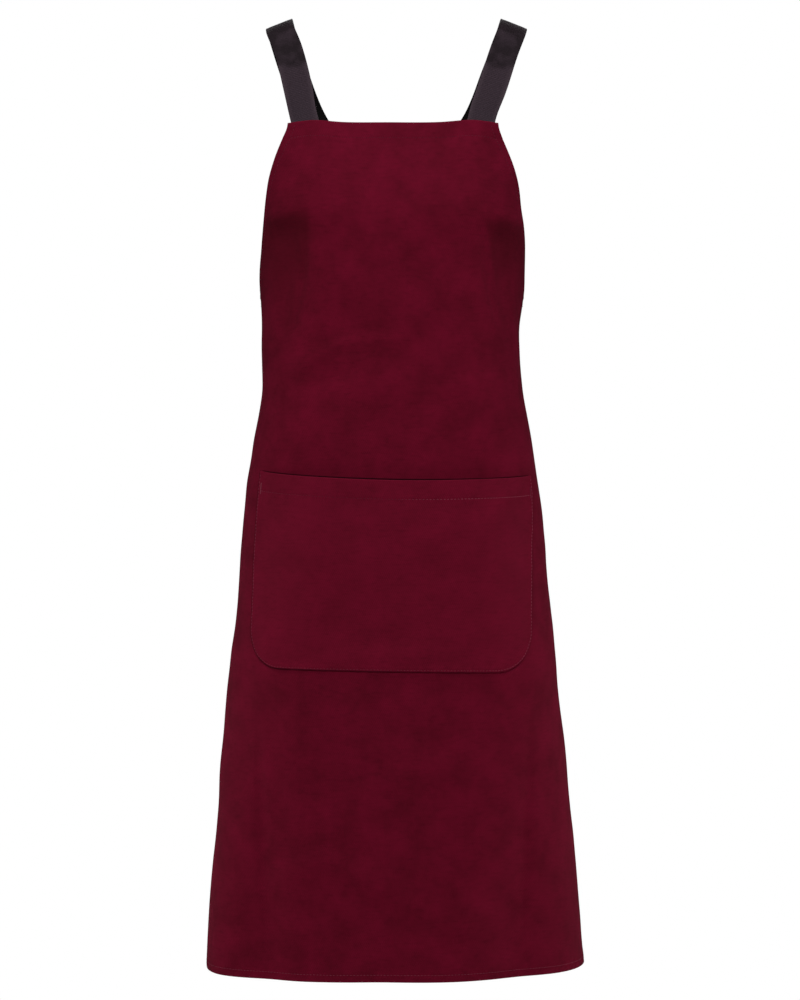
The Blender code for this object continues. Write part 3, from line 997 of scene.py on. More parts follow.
@dataclass
class ApronPanel:
    """The bib and skirt, one sheet of cotton drill with a turned hem all round."""

    form: HangingForm
    cloth: float = 0.0008
    hem_cloth: float = 0.0020
    top_hem: Hem = Hem(width=0.0190, stitch_at=0.0172)
    side_hem: Hem = Hem(width=0.0100, stitch_at=0.0084)
    foot_hem: Hem = Hem(width=0.0090, stitch_at=0.0073)
    hem_step: float = 0.0009
    top_steps: Steps = ((0, 0.0012, 5), (0.0012, 0.0150, 5), (0.0150, 0.0220, 9))
    foot_steps: Steps = ((0, 0.0012, 5), (0.0012, 0.0056, 4), (0.0056, 0.0110, 8))
    side_steps: Steps = ((0, 0.0012, 4), (0.0012, 0.0066, 3), (0.0066, 0.0120, 8))
    middle_columns: int = 174
    armhole_rows: int = 56
    waist_rows: int = 28
    mouth_rows: int = 32
    skirt_rows: int = 92
    row_crowding: float = 1.5
    mouth_band: tuple[float, float] = (0.3565, 0.3745)
    # A shadow is painted on the panel just above the pocket's mouth.
    painted_shadow_above: float = 0.0026
    painted_shadow_fade: float = 0.0008
    # How soft the edges of the shade painted under the bust are.
    under_bust_shade_side: float = 0.010
    under_bust_shade_top: float = 0.014
    edge_rubbed: float = 0.8
    edge_rub: float = 0.0016

    def under_bust_shade(self, across: Array, drop: Array) -> Array:
        """The share of the shade painted under the bust: an eased step across its inner edge and down
        from its top, that fades out over its reach.

        Args:
            across, drop: places on the cloth.

        Returns:
            The share.
        """
        total = np.zeros_like(across)
        for zone in rows_of(UNDER_BUST_SHADE, UNDER_BUST_SHADE_COLUMNS):
            down = drop - zone["drop"]
            outwards = zone["side"] * across - zone["across"] - zone["lean"] * down
            inside = eased(outwards / self.under_bust_shade_side) * eased(down / self.under_bust_shade_top)
            total += zone["share"] * inside * (1 - eased(down / zone["reach"]))
        return total

    def distances(self, across: Array, drop: Array) -> tuple[Array, Array, Array]:
        """Distances to the bib's top edge, to the nearer side edge and to the foot.

        Args:
            across, drop: places on the cloth.

        Returns:
            The three distances.
        """
        cut = self.form.cut
        to_side = (cut.half(drop) - np.abs(across)) / cut.stretch(drop)
        return drop + 0 * across, to_side, cut.height - drop + 0 * across

    def thickness(self, across: Array, drop: Array) -> Array:
        """The wall: single cloth, eased up to the turned hem's thickness near each edge."""
        in_hem = np.zeros(np.broadcast_shapes(np.shape(across), np.shape(drop)))
        hems = (self.top_hem, self.side_hem, self.foot_hem)
        for away, hem in zip(self.distances(across, drop), hems):
            in_hem = np.maximum(in_hem, 1 - eased((away - hem.width) / self.hem_step))
        return self.cloth + (self.hem_cloth - self.cloth) * in_hem

    def outside(self, across: Array, drop: Array, lift: Array = 0.0) -> Array:
        """Points on the outer face, or lifted off it: the form, the hems' relief and the round edges.

        Args:
            across, drop: places on the cloth.
            lift: distance off the face.

        Returns:
            The points.
        """
        to_top, to_side, to_foot = self.distances(across, drop)
        thick = self.thickness(across, drop)
        height = self.top_hem.relief(to_top, across) + self.foot_hem.relief(to_foot, across)
        height = height + self.side_hem.relief(to_side, self.form.cut.edge_run(drop))
        nearest = np.minimum(np.minimum(to_top, to_side), to_foot)
        height = height - round_over(nearest, thick)
        return self.form.stand_off(across, drop, height + lift)

    def inside(self, across: Array, drop: Array, lift: Array = 0.0) -> Array:
        """Points on the inner face, or lifted off it.

        Args:
            across, drop: places on the cloth.
            lift: distance off the face, inwards.

        Returns:
            The points.
        """
        thick = self.thickness(across, drop)
        nearest = np.minimum.reduce(self.distances(across, drop))
        return self.form.stand_off(across, drop, -thick + round_over(nearest, thick) - lift)

    def grid(self) -> tuple[Array, Array]:
        """The grid of places: rows crowd at the hems and the wing's corner, columns at the sides.

        Returns:
            Distances across, by row and column, and drops, by row.
        """
        cut = self.form.cut
        first, last = self.mouth_band
        top_end, foot_end, side_end = (
            steps[-1][1] for steps in (self.top_steps, self.foot_steps, self.side_steps)
        )
        to_corner = np.linspace(1, 0, self.armhole_rows) ** self.row_crowding
        rows = np.concatenate(
            [
                edge_steps(*self.top_steps),
                cut.armhole_depth - (cut.armhole_depth - top_end) * to_corner,
                np.linspace(cut.armhole_depth, first, self.waist_rows)[1:],
                np.linspace(first, last, self.mouth_rows)[1:],
                np.linspace(last, cut.height - foot_end, self.skirt_rows)[1:],
                cut.height - edge_steps(*self.foot_steps)[::-1],
            ]
        )[:, None]
        side = edge_steps(*self.side_steps)
        half, stretch = cut.half(rows), cut.stretch(rows)
        spread = np.linspace(-1, 1, self.middle_columns) * (half - side_end * stretch)
        across = np.hstack([side * stretch - half, spread, (half - side * stretch)[:, ::-1]])
        return across, rows

    def build(self, finish: bpy.types.Material, pocket: "PatchPocket") -> bpy.types.Object:
        """Builds the panel.

        Args:
            finish: the cloth's material.
            pocket: the pocket, behind whose mouth a shadow is painted on the cloth.

        Returns:
            The panel.
        """
        across, rows = self.grid()
        drop = rows + 0 * across
        outer, inner = self.outside(across, drop), self.inside(across, drop)
        nearest = np.minimum.reduce(self.distances(across, drop))
        wear = self.edge_rubbed * (1 - eased(nearest / self.edge_rub))
        painted_shadow = pocket.painted_shadow(across, drop, self.painted_shadow_above, self.painted_shadow_fade)
        under_bust_shade = self.under_bust_shade(across, drop)
        place = np.stack([across, -drop], axis=-1)
        panel = add_piece(
            "bib_and_skirt",
            np.concatenate([outer.reshape(-1, 3), inner.reshape(-1, 3)]),
            shell_faces(*across.shape),
            finish,
            np.concatenate([place, place]),
            {
                "wear": np.concatenate([wear, wear]),
                # The shadow painted behind the pocket's mouth, on the outer face only.
                "painted_shadow": np.concatenate([painted_shadow, 0 * painted_shadow]),
                # The shade painted under the bust, on the outer face only.
                "under_bust_shade": np.concatenate([under_bust_shade, 0 * under_bust_shade]),
            },
        )
        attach(panel, BODY)
        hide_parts("apron_panel")
        return panel


@dataclass
class PatchPocket:
    """The wide patch pocket: sewn down at its sides and foot, slack at its mouth."""

    form: HangingForm
    drop: float = 0.362
    height: float = 0.203
    half_mouth: float = 0.160
    half_foot: float = 0.158
    lean: float = 0.011
    tilt: float = 0.0047
    corner: float = 0.044
    slack: float = 0.012
    dip: float = 0.0085
    seam: float = 0.005
    side_run: float = 0.6
    foot_run: float = 0.75
    rubbed: float = 0.3
    edge_rubbed: float = 0.6
    edge_rub: float = 0.0018
    # Painted shadow: a dark line along the pocket's sides and foot, stronger on the wearer's right.
    edge_shadow: float = 0.6
    edge_shadow_change: float = 0.25
    edge_shadow_width: float = 0.0007
    pattern_shift: float = 0.5
    mouth_reach: float = 0.5
    seat_gap: float = 0.0003
    cloth: float = 0.0008
    hem_cloth: float = 0.0018
    mouth_hem: Hem = Hem(width=0.0220, stitch_at=0.0205)
    edge_hem: Hem = Hem(width=0.0060, stitch_at=0.0020, channel=0.0002, pucker=0.00016, pucker_long=0.011)
    mouth_steps: Steps = ((0, 0.0012, 5), (0.0012, 0.0185, 9), (0.0185, 0.0240, 8))
    side_steps: Steps = ((0, 0.0008, 4), (0.0008, 0.0040, 6), (0.0040, 0.0080, 4))
    hem_step: float = 0.001
    thinnest: float = 0.0001
    # How the shadow painted behind the mouth narrows towards its ends and fades out there.
    painted_shadow_ends: float = 0.35
    painted_shadow_in: float = 0.03
    columns: int = 190
    rows: int = 78
    corner_rows: int = 34

    def half(self, down: Array) -> Array:
        """The half width, which changes evenly from the mouth to the foot."""
        return self.half_mouth + (self.half_foot - self.half_mouth) * down / self.height

    def painted_shadow(self, across: Array, drop: Array, above: float, fade: float) -> Array:
        """The shadow painted on the panel behind the mouth: how dark, from just above it, soft at the ends.

        The mouth dips as a parabola between its ends and tilts a little.

        Args:
            across, drop: places on the cloth.
            above: how far above the mouth's middle the painted shadow starts.
            fade: the way over which it deepens.

        Returns:
            1 where the shadow is painted in full and 0 where there is none.
        """
        share = np.clip((across - self.lean / 2) / self.half_mouth, -1, 1)
        sagged = 1 - share**2
        mouth = self.drop + self.dip * sagged + self.tilt * share / 2
        start = above * (self.painted_shadow_ends + (1 - self.painted_shadow_ends) * sagged)
        ends = eased((1 - np.abs(share)) / self.painted_shadow_in)
        below = 1 - eased((drop - self.drop) / (self.height / 2) - 0.5)
        return eased((drop - mouth + start) / fade) * ends * below

    def to_cut(self, out: Array, down: Array) -> tuple[Array, Array]:
        """Turns a place on the pocket's own pattern into one on the apron's cut.

        Args:
            out, down: distances from the pocket's centre line and below its mouth.

        Returns:
            Distance across the cut, and drop.
        """
        share, half = down / self.height, self.half(down)
        bowed = self.dip * (1 - np.clip(out / half, -1, 1) ** 2) * (1 - eased(share / self.mouth_reach))
        return out - self.lean * (share - 0.5), self.drop + down + bowed + self.tilt * out / (2 * half)

    def from_edge(self, out: Array, down: Array) -> Array:
        """Distance from the sides and foot, whose two corners are quarter rounds.

        Args:
            out, down: distances from the pocket's centre line and below its mouth.

        Returns:
            The distances.
        """
        to_side, to_foot = self.half(down) - np.abs(out), self.height - down
        in_corner = np.hypot(np.maximum(self.corner - to_side, 0), np.maximum(self.corner - to_foot, 0))
        return np.where(in_corner > 0, self.corner - in_corner, np.minimum(to_side, to_foot))

    def build_up(self, out: Array, down: Array) -> tuple[Array, Array]:
        """Where the faces lie off the panel's outer face.

        Args:
            out, down: distances from the pocket's centre line and below its mouth.

        Returns:
            The outer face's height and the wall's thickness.
        """
        edge = self.from_edge(out, down)
        inside = 1 - np.abs(out) / (self.half(down) - self.seam)
        above_foot = 1 - down / (self.height - self.seam)
        slack = self.slack * eased(inside / self.side_run) * eased(above_foot / self.foot_run)
        past = np.minimum(edge - self.edge_hem.width, down - self.mouth_hem.width)
        thick = self.hem_cloth + (self.cloth - self.hem_cloth) * eased(past / self.hem_step)
        relief = self.mouth_hem.relief(down, out) + self.edge_hem.relief(edge, down + np.abs(out))
        height = self.seat_gap + self.hem_cloth + slack + relief - round_over(np.minimum(edge, down), thick)
        wall = thick + relief - 2 * round_over(np.minimum(edge, down), thick)
        return height, np.maximum(wall, self.thinnest)

    def outside(self, out: Array, down: Array, lift: Array = 0.0) -> Array:
        """Points on the outer face, or lifted off it."""
        height, _ = self.build_up(out, down)
        return self.form.stand_off(*self.to_cut(out, down), height + lift)

    def build(self, finish: bpy.types.Material) -> bpy.types.Object:
        """Builds the pocket.

        Args:
            finish: the cloth's material.

        Returns:
            The pocket.
        """
        mouth, side = edge_steps(*self.mouth_steps), edge_steps(*self.side_steps)
        mouth_end, side_end = self.mouth_steps[-1][1], self.side_steps[-1][1]
        top = self.height - self.corner
        turn = np.linspace(0, math.pi / 2, self.corner_rows + 1)[1:]
        rows = [mouth, np.linspace(mouth_end, top, self.rows), top + self.corner * np.sin(turn)]
        down = np.concatenate(rows)[:, None]
        half = self.half(down) + np.sqrt(self.corner**2 - np.maximum(down - top, 0) ** 2) - self.corner
        across = np.linspace(-1, 1, self.columns) * (half - side_end)
        out = np.hstack([side - half, across, (half - side)[:, ::-1]])
        down = down + 0 * out
        height, wall = self.build_up(out, down)
        placed = self.to_cut(out, down)
        outer, inner = self.form.stand_off(*placed, height), self.form.stand_off(*placed, height - wall)
        to_seam = self.from_edge(out, down)
        near_edge = 1 - eased(np.minimum(to_seam, down) / self.edge_rub)
        wear = self.rubbed + (self.edge_rubbed - self.rubbed) * near_edge
        # A shadow is painted as a dark line along the sewn sides and foot.
        edge_shadow = self.edge_shadow - self.edge_shadow_change * out / self.half_mouth
        painted_shadow = edge_shadow * (1 - eased(to_seam / self.edge_shadow_width - 1))
        place = np.stack([out, self.pattern_shift - down], axis=-1)
        pocket = add_piece(
            "patch_pocket",
            np.concatenate([outer.reshape(-1, 3), inner.reshape(-1, 3)]),
            shell_faces(*out.shape),
            finish,
            np.concatenate([place, place]),
            {
                "wear": np.concatenate([wear, wear]),
                # The dark line painted along the pocket's edges, on both faces.
                "painted_shadow": np.concatenate([painted_shadow, painted_shadow]),
                "under_bust_shade": np.zeros(2 * wear.size),
            },
        )
        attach(pocket, BODY)
        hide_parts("pocket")
        return pocket


# Webbing


@dataclass
class CrossStrap:
    """A webbing strap from the bib over one shoulder, across the back to the far wing."""

    form: HangingForm
    side: Side
    width: float = 0.030
    thickness: float = 0.0015
    spread: float = 0.124
    bib_lap: float = 0.014
    wing_lap: float = 0.026
    crossing_gap: float = 0.0009
    bib_lean: float = math.radians(14)
    wing_lean: float = math.radians(35)
    inset: float = 0.003
    lead: float = 0.012
    seat: float = 0.0002
    layered_from: float = 0.5
    rib_pitch: float = 0.0020  # real ribs are about 1.4 mm, drawn coarser to show
    rib_height: float = 0.00013
    selvedge: float = 0.0019
    groove: float = 0.00022
    groove_share: float = 1 / 3
    edge_thin: float = 0.35
    rib_inset: float = 0.6
    # Where along the strap it is drawn darker: the stretch over the shoulders.
    handled_at: float = 0.190
    handled_reach: float = 0.098
    handled_fade: float = 0.020
    stations_a_rib: int = 5
    inner_points: int = 9
    box_half: float = 0.0110
    bib_box: tuple[float, float] = (0.0055, 0.0125)
    wing_box: tuple[float, float] = (0.0090, 0.0225)

    def at_bib(self, along: Array, lane: Array) -> tuple[Array, Array]:
        """Where a place on the strap's end behind the bib lies in the cut.

        Args:
            along: distance down from the bib's top edge along the strap.
            lane: distance from the strap's middle.

        Returns:
            Distance across and drop.
        """
        lean = self.bib_lean
        place = self.form.cut.bib_half - self.inset - self.width / 2 / math.cos(lean)
        at = place - along * math.sin(lean) + lane * math.cos(lean)
        return self.side.value * at, along * math.cos(lean) + lane * math.sin(lean)

    def at_wing(self, along: Array, lane: Array) -> tuple[Array, Array]:
        """Where a place on the strap's end inside the far wing lies in the cut.

        Args:
            along: distance down from the armhole along the strap.
            lane: distance from the strap's middle.

        Returns:
            Distance across and drop.
        """
        cut, lean, half = self.form.cut, self.wing_lean, self.width / 2
        slope = (cut.half(cut.armhole_depth) - cut.half(cut.armhole_depth - half)) / half
        corner_drop = cut.armhole_depth - (half + self.inset) / math.hypot(1, slope)
        at = cut.half(corner_drop) - along * math.sin(lean) + lane * math.cos(lean)
        return -self.side.value * at, corner_drop + along * math.cos(lean) + lane * math.sin(lean)

    def sewn_rows(self, hem_cloth: float) -> tuple[list[Array], list[Array]]:
        """Rows of three points where the strap is sewn behind the bib and inside the far wing.

        Args:
            hem_cloth: the hem's thickness, which the strap lies behind.

        Returns:
            The rows at the bib and those at the wing.
        """
        lanes = np.array([-1, 0, 1]) * self.width / 2
        inside = -(hem_cloth + self.seat + self.thickness / 2) * np.ones(3)
        bib_stops = (self.bib_lap, self.bib_lap / 2, 0.0, -self.lead)
        wing_stops = (-self.lead, 0.0, self.wing_lap / 2, self.wing_lap)
        return (
            [self.form.stand_off(*self.at_bib(along, lanes), inside) for along in bib_stops],
            [self.form.stand_off(*self.at_wing(along, lanes), inside) for along in wing_stops],
        )

    def back(self, across: Array, drop: Array, lift: Array, hem_cloth: float) -> Array:
        """Points on the inner face of the strap's sewn ends, or lifted off it."""
        return self.form.stand_off(across, drop, -(hem_cloth + self.seat + self.thickness) - lift)

    def crossed_box(self, ends: tuple[float, float]) -> tuple[Array, Array]:
        """A box with both diagonals, as one row of stitches.

        Args:
            ends: how far along the strap the box starts and ends.

        Returns:
            Distances along the strap and from its middle, corner by corner.
        """
        near, far, half = *ends, self.box_half
        corners = ((near, -half), (far, -half), (far, half), (near, half), (near, -half))
        return tuple(np.array((*corners, (far, half), (far, -half), (near, half))).T)

    def lanes(self, hem_cloth: float) -> tuple[Array, Array]:
        """The strap's two edges and its middle, as rows of three points along it.

        Args:
            hem_cloth: the hem's thickness.

        Returns:
            How far along each row lies, and the rows.
        """
        hand, form = self.side.value, self.form
        bib, wing = self.sewn_rows(hem_cloth)
        full_drop = form.shoulder_drop + form.cut.armhole_depth
        free, facings = [], []
        for stop in rows_of(ROUTE, ROUTE_COLUMNS):
            depth = form.front_depth if stop["forward"] > 0 else form.back_depth
            out = stop[self.side.name.lower()] * self.spread
            free.append((hand * out, -stop["forward"] * depth, -stop["down"] * full_drop))
            face, tilt = math.radians(stop["facing"]), math.radians(stop["slope"])
            level = math.cos(tilt)
            facings.append((hand * math.sin(tilt), -math.cos(face) * level, math.sin(face) * level))
        middles = np.array([row[1] for row in bib] + free + [row[1] for row in wing])
        along = run_of(middles)
        tangents = np.gradient(middles, along, axis=0)[len(bib) : -len(wing)]
        free, facings = np.array(free), np.array(facings)
        across = unit(hand * np.cross(tangents, facings))
        layer = hand * (self.thickness + self.crossing_gap) / 2
        layered = eased((free[:, 1] / form.back_depth - self.layered_from) / (1 - self.layered_from))
        free = free + facings * layer * layered[:, None]
        lanes = np.array([-1, 0, 1])[None, :, None] * self.width / 2
        return along, np.concatenate([bib, free[:, None] + lanes * across[:, None], wing])

    def build(self, finish: bpy.types.Material, hem_cloth: float) -> bpy.types.Object:
        """Builds the strap: a flat profile with ribs and two bound edges, carried along its lanes.

        Between the lanes a point lies on the parabola through the three of them, and the face
        rises by a cosine of the distance along for each rib.

        Args:
            finish: the webbing's material.
            hem_cloth: the hem's thickness.

        Returns:
            The strap.
        """
        along, rows = self.lanes(hem_cloth)
        count = int(along[-1] / self.rib_pitch) * self.stations_a_rib
        at = np.linspace(0, along[-1], count)
        lane = np.stack([smooth(along, rows[:, k], at) for k in range(3)], axis=1)
        edge = self.selvedge / (self.width / 2)
        inner = np.linspace(-1 + edge, 1 - edge, self.inner_points)
        share = np.concatenate([[-1, -1 + edge / 2], inner, [1 - edge / 2, 1]])
        weights = np.stack([share * (share - 1) / 2, 1 - share**2, share * (share + 1) / 2])
        flat = np.einsum("kj,ikc->ijc", weights, lane)
        out = unit(np.cross(np.gradient(flat, axis=0), np.gradient(flat, axis=1)) * -self.side.value)
        body = eased((1 - np.abs(share)) / edge - self.rib_inset)
        half = self.thickness / 2 * np.where(np.abs(share) < 1, 1, self.edge_thin)
        wide = edge * self.groove_share
        half = half - self.groove * bell(1 - np.abs(share) - edge, wide, wide)
        rib = 0.5 + 0.5 * np.cos(2 * math.pi * at / self.rib_pitch)[:, None] * np.ones(len(share))
        lift = half + self.rib_height * (rib - 1) * body
        raised = out * lift[..., None]
        ring = np.concatenate([flat + raised, (flat - raised)[:, ::-1]], axis=1)
        wide = np.concatenate([share, share[::-1]]) * self.width / 2
        place = np.stack(np.broadcast_arrays(wide, at[:, None]), axis=-1)
        bound = np.broadcast_to(1 - body, rib.shape)
        beyond = np.abs(at - self.handled_at) - self.handled_reach
        handled = 1 - eased(beyond / self.handled_fade)
        around = ring.shape[1]
        ends = np.arange(around)
        strap = add_piece(
            f"strap_over_{self.side.name.lower()}",
            ring,
            tube_faces(len(ring), around),
            finish,
            place,
            {
                # The ribs' crests get a painted highlight.
                "rib": np.concatenate([rib, rib[:, ::-1]], axis=1),
                # The selvedge gets a painted edge highlight.
                "selvedge": np.concatenate([bound, bound[:, ::-1]], axis=1),
                # The stretch over the shoulders is drawn darker.
                "handled": np.repeat(handled, around),
                # The inner face is painted near black as shade.
                "inside": np.tile(np.arange(around) >= around / 2, len(ring)),
            },
            np.stack([ends, (ends + around * (len(ring) - 1))[::-1]]),
        )
        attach(strap, BODY)
        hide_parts(f"strap_over_{self.side.name.lower()}_shoulder")
        return strap


# Sewing


@dataclass
class StitchRows:
    """Lockstitch rows that belong to one sheet, joined into one mesh."""

    name: str
    material: bpy.types.Material
    pitch: float = 0.0034
    share: float = 0.62
    thread: float = 0.00045
    taper: float = 0.45
    bar_pitch: float = 1.6
    bar_share: float = 0.98
    bar_shown: float = 0.7
    rings: int = 5
    around: int = 6
    made: list[Array] = field(default_factory=list)
    paleness: list[Array] = field(default_factory=list)

    def sew(
        self, line: Array, surface: Surface, shown: float = 0.55, pale: Sequence[float] = (0.0,)
    ) -> None:
        """Sews one row: each stitch is a short thread that dips into the cloth at both ends.

        A thread's centre rises as the sine of its length, and its round section narrows towards
        its ends.

        Args:
            line: places that the row follows, two numbers each in the surface's own terms.
            surface: gives points for places and a lift off the cloth.
            shown: share of the thread that rises above the cloth at the stitch's middle.
            pale: how pale the thread looks, at even places along the row.
        """
        run = run_of(line)
        count = int(run[-1] / self.pitch)
        start = (np.arange(count) + (1 - self.share) / 2) * (run[-1] / count)
        t = np.linspace(0, 1, self.rings)
        at = start[:, None] + t * self.pitch * self.share
        first, second = (np.interp(at, run, line[:, k]) for k in (0, 1))
        radius = self.thread / 2 * (self.taper + (1 - self.taper) * np.sin(math.pi * t))
        lift = self.thread * (shown * np.sin(math.pi * t) - 0.5 + shown / 2)
        centre = surface(first, second, lift + 0 * first)
        over = surface(first, second, lift + 0 * first + self.thread)
        way = unit(np.gradient(centre, axis=1))
        up = unit(over - centre)
        sideways = unit(np.cross(way, up))
        up = np.cross(sideways, way)
        turn = np.arange(self.around) * 2 * math.pi / self.around
        ring = np.cos(turn)[:, None] * sideways[:, :, None] + np.sin(turn)[:, None] * up[:, :, None]
        self.made.append(centre[:, :, None] + ring * radius[:, None, None])
        shades = np.interp(start / run[-1], np.linspace(0, 1, len(pale)), pale)
        self.paleness.append(np.repeat(shades, self.rings * self.around))

    def bar(
        self, middle: tuple[float, float], long: float, wide: float, surface: Surface, pale: float
    ) -> None:
        """Sews a bar tack: close threads side by side, each lying across the bar.

        Args:
            middle: the bar's middle, in the surface's own terms.
            long: the bar's length, down.
            wide: the bar's width.
            surface: gives points for places and a lift off the cloth.
            pale: how pale the thread looks.
        """
        threads = int(long / (self.thread * self.bar_pitch))
        reach = np.array([[-wide / 2, 0], [wide / 2, 0]])
        pitch, self.pitch = self.pitch, wide * self.bar_share
        for level in np.linspace(-long / 2, long / 2, threads):
            self.sew(np.array(middle) + reach + [0, level], surface, self.bar_shown, (pale,))
        self.pitch = pitch

    def build(self) -> bpy.types.Object:
        """Joins the stitches into one mesh with closed ends.

        Returns:
            The piece.
        """
        points = np.concatenate(self.made)
        count, one = len(points), self.rings * self.around
        first = (np.arange(count) * one)[:, None, None]
        quads = (tube_faces(self.rings, self.around)[None] + first).reshape(-1, 4)
        ends = np.arange(self.around)
        caps = (np.stack([ends, (ends + one - self.around)[::-1]])[None] + first).reshape(-1, self.around)
        shares = {"pale": np.concatenate(self.paleness)}
        piece = add_piece(self.name, points, quads, self.material, shares=shares, caps=caps)
        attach(piece, BODY)
        return piece


@dataclass
class Sewing:
    """All the stitch rows of the apron."""

    panel: ApronPanel
    pocket: PatchPocket
    thread: bpy.types.Material
    tack_long: float = 0.011
    tack_wide: float = 0.0022
    tack_in: float = 0.0055
    tack_down: float = 0.018
    row_inset: float = 0.0035
    level_points: int = 120
    side_points: int = 400
    mouth_points: int = 80
    upright_points: int = 60
    corner_points: int = 40
    # How much painted highlight each row's thread shows, at even places along it.
    top_pale: tuple[float, ...] = (0.2, 0.0, 0.05, 0.0, 0.2)
    foot_pale: tuple[float, ...] = (0.4, 0.3, 0.3, 0.35, 0.4)
    side_pale: tuple[float, ...] = (0.1, 0.0)
    mouth_pale: tuple[float, ...] = (0.15, 0.0, 0.0, 0.1, 0.45, 0.5, 0.55)
    edge_pale: tuple[float, ...] = (0.3, 0.3, 0.15, 0.15, 0.3, 0.5, 0.45)
    box_pale: tuple[float, ...] = (0.35,)
    tack_pale: tuple[float, ...] = (0.6, 0.15)

    def hem_lines(self) -> list[tuple[Array, Sequence[float]]]:
        """The panel's rows: along the top hem, along the foot and down both sides.

        Returns:
            For each row its places and how pale its thread looks.
        """
        cut, panel = self.panel.form.cut, self.panel
        level = np.linspace(-1, 1, self.level_points)
        top = np.full(self.level_points, panel.top_hem.stitch_at)
        foot = np.full(self.level_points, cut.height - panel.foot_hem.stitch_at)
        drop = np.linspace(self.row_inset, cut.height - self.row_inset, self.side_points)
        inner = cut.half(drop) - panel.side_hem.stitch_at * cut.stretch(drop)
        return [
            (np.stack([level * (cut.bib_half - self.row_inset), top], axis=1), self.top_pale),
            (np.stack([level * (cut.hem_half - self.row_inset), foot], axis=1), self.foot_pale),
            (np.stack([-inner, drop], axis=1), self.side_pale),
            (np.stack([inner, drop], axis=1), self.side_pale),
        ]

    def sew_panel(self) -> bpy.types.Object:
        """Sews the panel's hems, on both faces of the cloth.

        Returns:
            The stitches.
        """
        rows = StitchRows("hem_stitches", self.thread)
        for line, pale in self.hem_lines():
            rows.sew(line, self.panel.outside, pale=pale)
            rows.sew(line, self.panel.inside, pale=pale)
        return rows.build()

    def sew_pocket(self) -> bpy.types.Object:
        """Sews the pocket's mouth hem, its sides and foot, and the two bar tacks.

        Returns:
            The stitches.
        """
        pocket = self.pocket
        rows = StitchRows("pocket_stitches", self.thread)
        level = np.linspace(-1, 1, self.mouth_points) * (pocket.half_mouth - self.row_inset)
        mouth = np.full(self.mouth_points, pocket.mouth_hem.stitch_at)
        rows.sew(np.stack([level, mouth], axis=1), pocket.outside, pale=self.mouth_pale)
        inset = pocket.edge_hem.stitch_at
        radius, top = pocket.corner - inset, pocket.height - pocket.corner
        turn = np.linspace(0, math.pi / 2, self.corner_points)
        straight = np.linspace(self.row_inset, top, self.upright_points)[:-1]
        down = np.concatenate([straight, top + radius * np.sin(turn)])
        rounded = radius**2 - np.maximum(down - top, 0) ** 2
        half = pocket.half(down) - inset - radius + np.sqrt(np.maximum(rounded, 0))
        right = np.stack([-half, down], axis=1)
        left = np.stack([half, down], axis=1)[::-1]
        rows.sew(np.concatenate([right, left]), pocket.outside, pale=self.edge_pale)
        for side, pale in zip(Side, self.tack_pale):
            middle = (side.value * (pocket.half_mouth - self.tack_in), self.tack_down)
            rows.bar(middle, self.tack_long, self.tack_wide, pocket.outside, pale)
        return rows.build()

    def sew_straps(self, straps: Sequence[CrossStrap]) -> bpy.types.Object:
        """Sews a crossed box through each strap end: behind the bib, and on both faces of the wing.

        Args:
            straps: the two straps.

        Returns:
            The stitches.
        """
        rows = StitchRows("strap_stitches", self.thread)
        for strap in straps:
            back = partial(strap.back, hem_cloth=self.panel.hem_cloth)
            bib = np.stack(strap.at_bib(*strap.crossed_box(strap.bib_box)), axis=1)
            wing = np.stack(strap.at_wing(*strap.crossed_box(strap.wing_box)), axis=1)
            rows.sew(bib, back, pale=self.box_pale)
            rows.sew(wing, back, pale=self.box_pale)
            rows.sew(wing, self.panel.outside, pale=self.box_pale)
        return rows.build()


# Studio


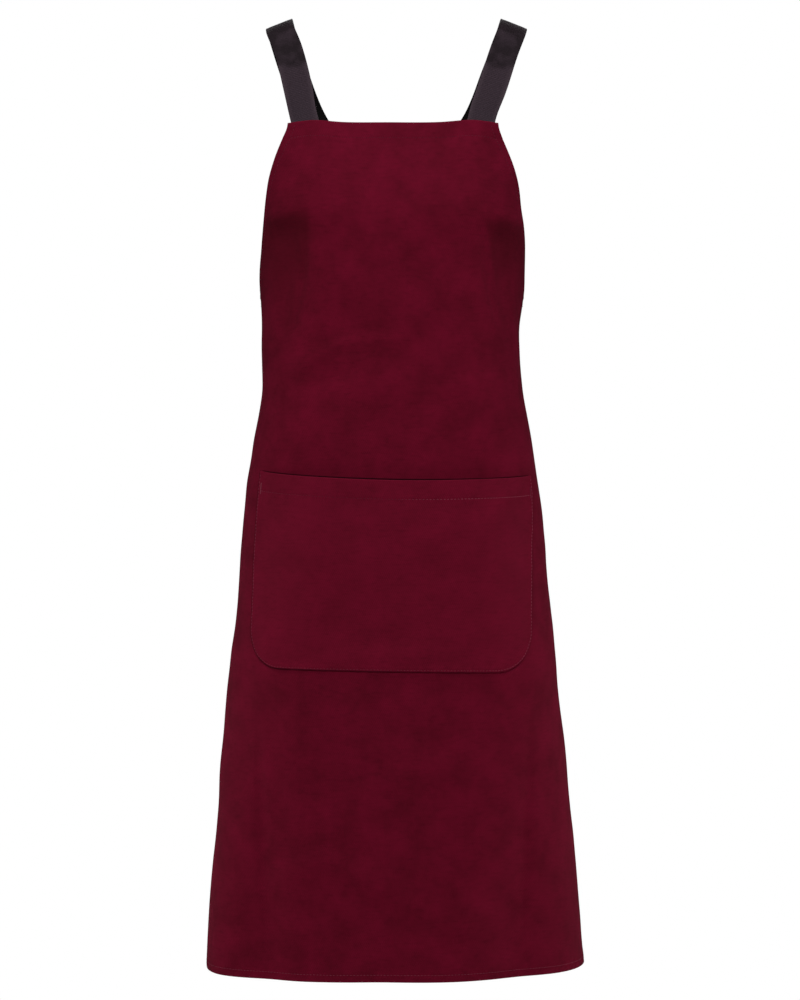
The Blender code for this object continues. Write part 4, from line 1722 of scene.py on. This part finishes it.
@dataclass(frozen=True)
class Studio:
    """A pale floor, plain soft lights, and a camera at the photograph's viewing angle."""

    camera_back: float = 3.2
    camera_height: float = -0.508
    lens: float = 108.68
    sensor: float = 36.0
    shift: float = 0.007
    floor_height: float = -1.32
    floor_half: float = 1.35
    floor_points: int = 9
    sky: float = 0.08

    def floor(self) -> bpy.types.Object:
        """Builds the floor, a square grid.

        Returns:
            The floor.
        """
        at = np.linspace(-self.floor_half, self.floor_half, self.floor_points)
        x, y = np.meshgrid(at, at)
        points = np.stack([x, y, np.full(x.shape, self.floor_height)], axis=-1).reshape(-1, 3)
        index = np.arange(self.floor_points**2).reshape(self.floor_points, -1)
        corners = (index[:-1, :-1], index[:-1, 1:], index[1:, 1:], index[1:, :-1])
        quads = np.stack(corners, axis=-1).reshape(-1, 4)
        mesh = bpy.data.meshes.new("floor")
        mesh.from_pydata(points.tolist(), [], quads.tolist())
        mesh.materials.append(StudioFloor().material())
        made = bpy.data.objects.new("floor", mesh)
        bpy.context.scene.collection.objects.link(made)
        return made

    def world(self) -> None:
        """A white surround that lights the cloth more softly than it shows."""
        world = bpy.data.worlds.new("studio")
        world.use_nodes = True
        tree = world.node_tree
        tree.nodes.clear()
        seen = add_node(tree, "ShaderNodeBackground", inputs={"Color": (1, 1, 1, 1), "Strength": 1.0})
        lit = add_node(tree, "ShaderNodeBackground", inputs={"Color": (1, 1, 1, 1), "Strength": self.sky})
        ray = add_node(tree, "ShaderNodeLightPath", out="Is Camera Ray")
        both = add_node(tree, "ShaderNodeMixShader", inputs={0: ray, 1: lit, 2: seen})
        add_node(tree, "ShaderNodeOutputWorld", inputs={0: both})
        bpy.context.scene.world = world

    def light(self, row: tuple, side: Side | None = None) -> None:
        """Adds a square soft light that looks at a point.

        Args:
            row: its row of the table.
            side: the side it stands on, if it has a mirror image.
        """
        lit = dict(zip(LIGHT_COLUMNS, row))
        name = lit["name"] if side is None else f"{side.name.lower()}_{lit['name']}"
        hand = 1 if side is None else side.value
        place = Vector((hand * lit["place"][0], *lit["place"][1:]))
        data = bpy.data.lights.new(name, "AREA")
        data.size, data.energy, data.spread = lit["size"], lit["watts"], math.radians(lit["spread"])
        lamp = bpy.data.objects.new(name, data)
        lamp.location = place
        bpy.context.scene.collection.objects.link(lamp)
        lamp.rotation_euler = (Vector(lit["aim"]) - place).to_track_quat("-Z", "Y").to_euler()

    def build(self) -> None:
        """Builds the floor, the world, the lights and the camera."""
        self.floor()
        self.world()
        self.light(KEY_LIGHT)
        for side in Side:
            for row in SIDE_LIGHTS:
                self.light(row, side)
        self.light(BACK_LIGHT)
        data = bpy.data.cameras.new("camera")
        data.sensor_fit = "VERTICAL"
        data.sensor_height = self.sensor
        data.lens = self.lens
        data.shift_x = self.shift
        camera = bpy.data.objects.new("camera", data)
        camera.location = (0, -self.camera_back, self.camera_height)
        camera.rotation_euler = (math.pi / 2, 0, 0)
        bpy.context.scene.collection.objects.link(camera)
        bpy.context.scene.camera = camera
        bpy.context.scene.view_settings.view_transform = "Standard"


def main() -> None:
    """Builds the studio and the apron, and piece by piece."""
    logging.basicConfig(level=logging.INFO, format="%(name)s: %(message)s")
    Studio().build()
    cotton = CottonDrill().material()
    webbing = CottonWebbing().material()
    thread = SewingThread().material()
    form = HangingForm(Cut())
    panel, pocket = ApronPanel(form), PatchPocket(form)
    cloth = panel.build(cotton, pocket)
    patch = pocket.build(cotton)
    straps = [CrossStrap(form, side) for side in Side]
    laid = [strap.build(webbing, panel.hem_cloth) for strap in straps]
    sewing = Sewing(panel, pocket, thread)
    hem_stitches, pocket_stitches = sewing.sew_panel(), sewing.sew_pocket()
    strap_stitches = sewing.sew_straps(straps)
    form.cut.area()


if __name__ == "__main__":
    main()
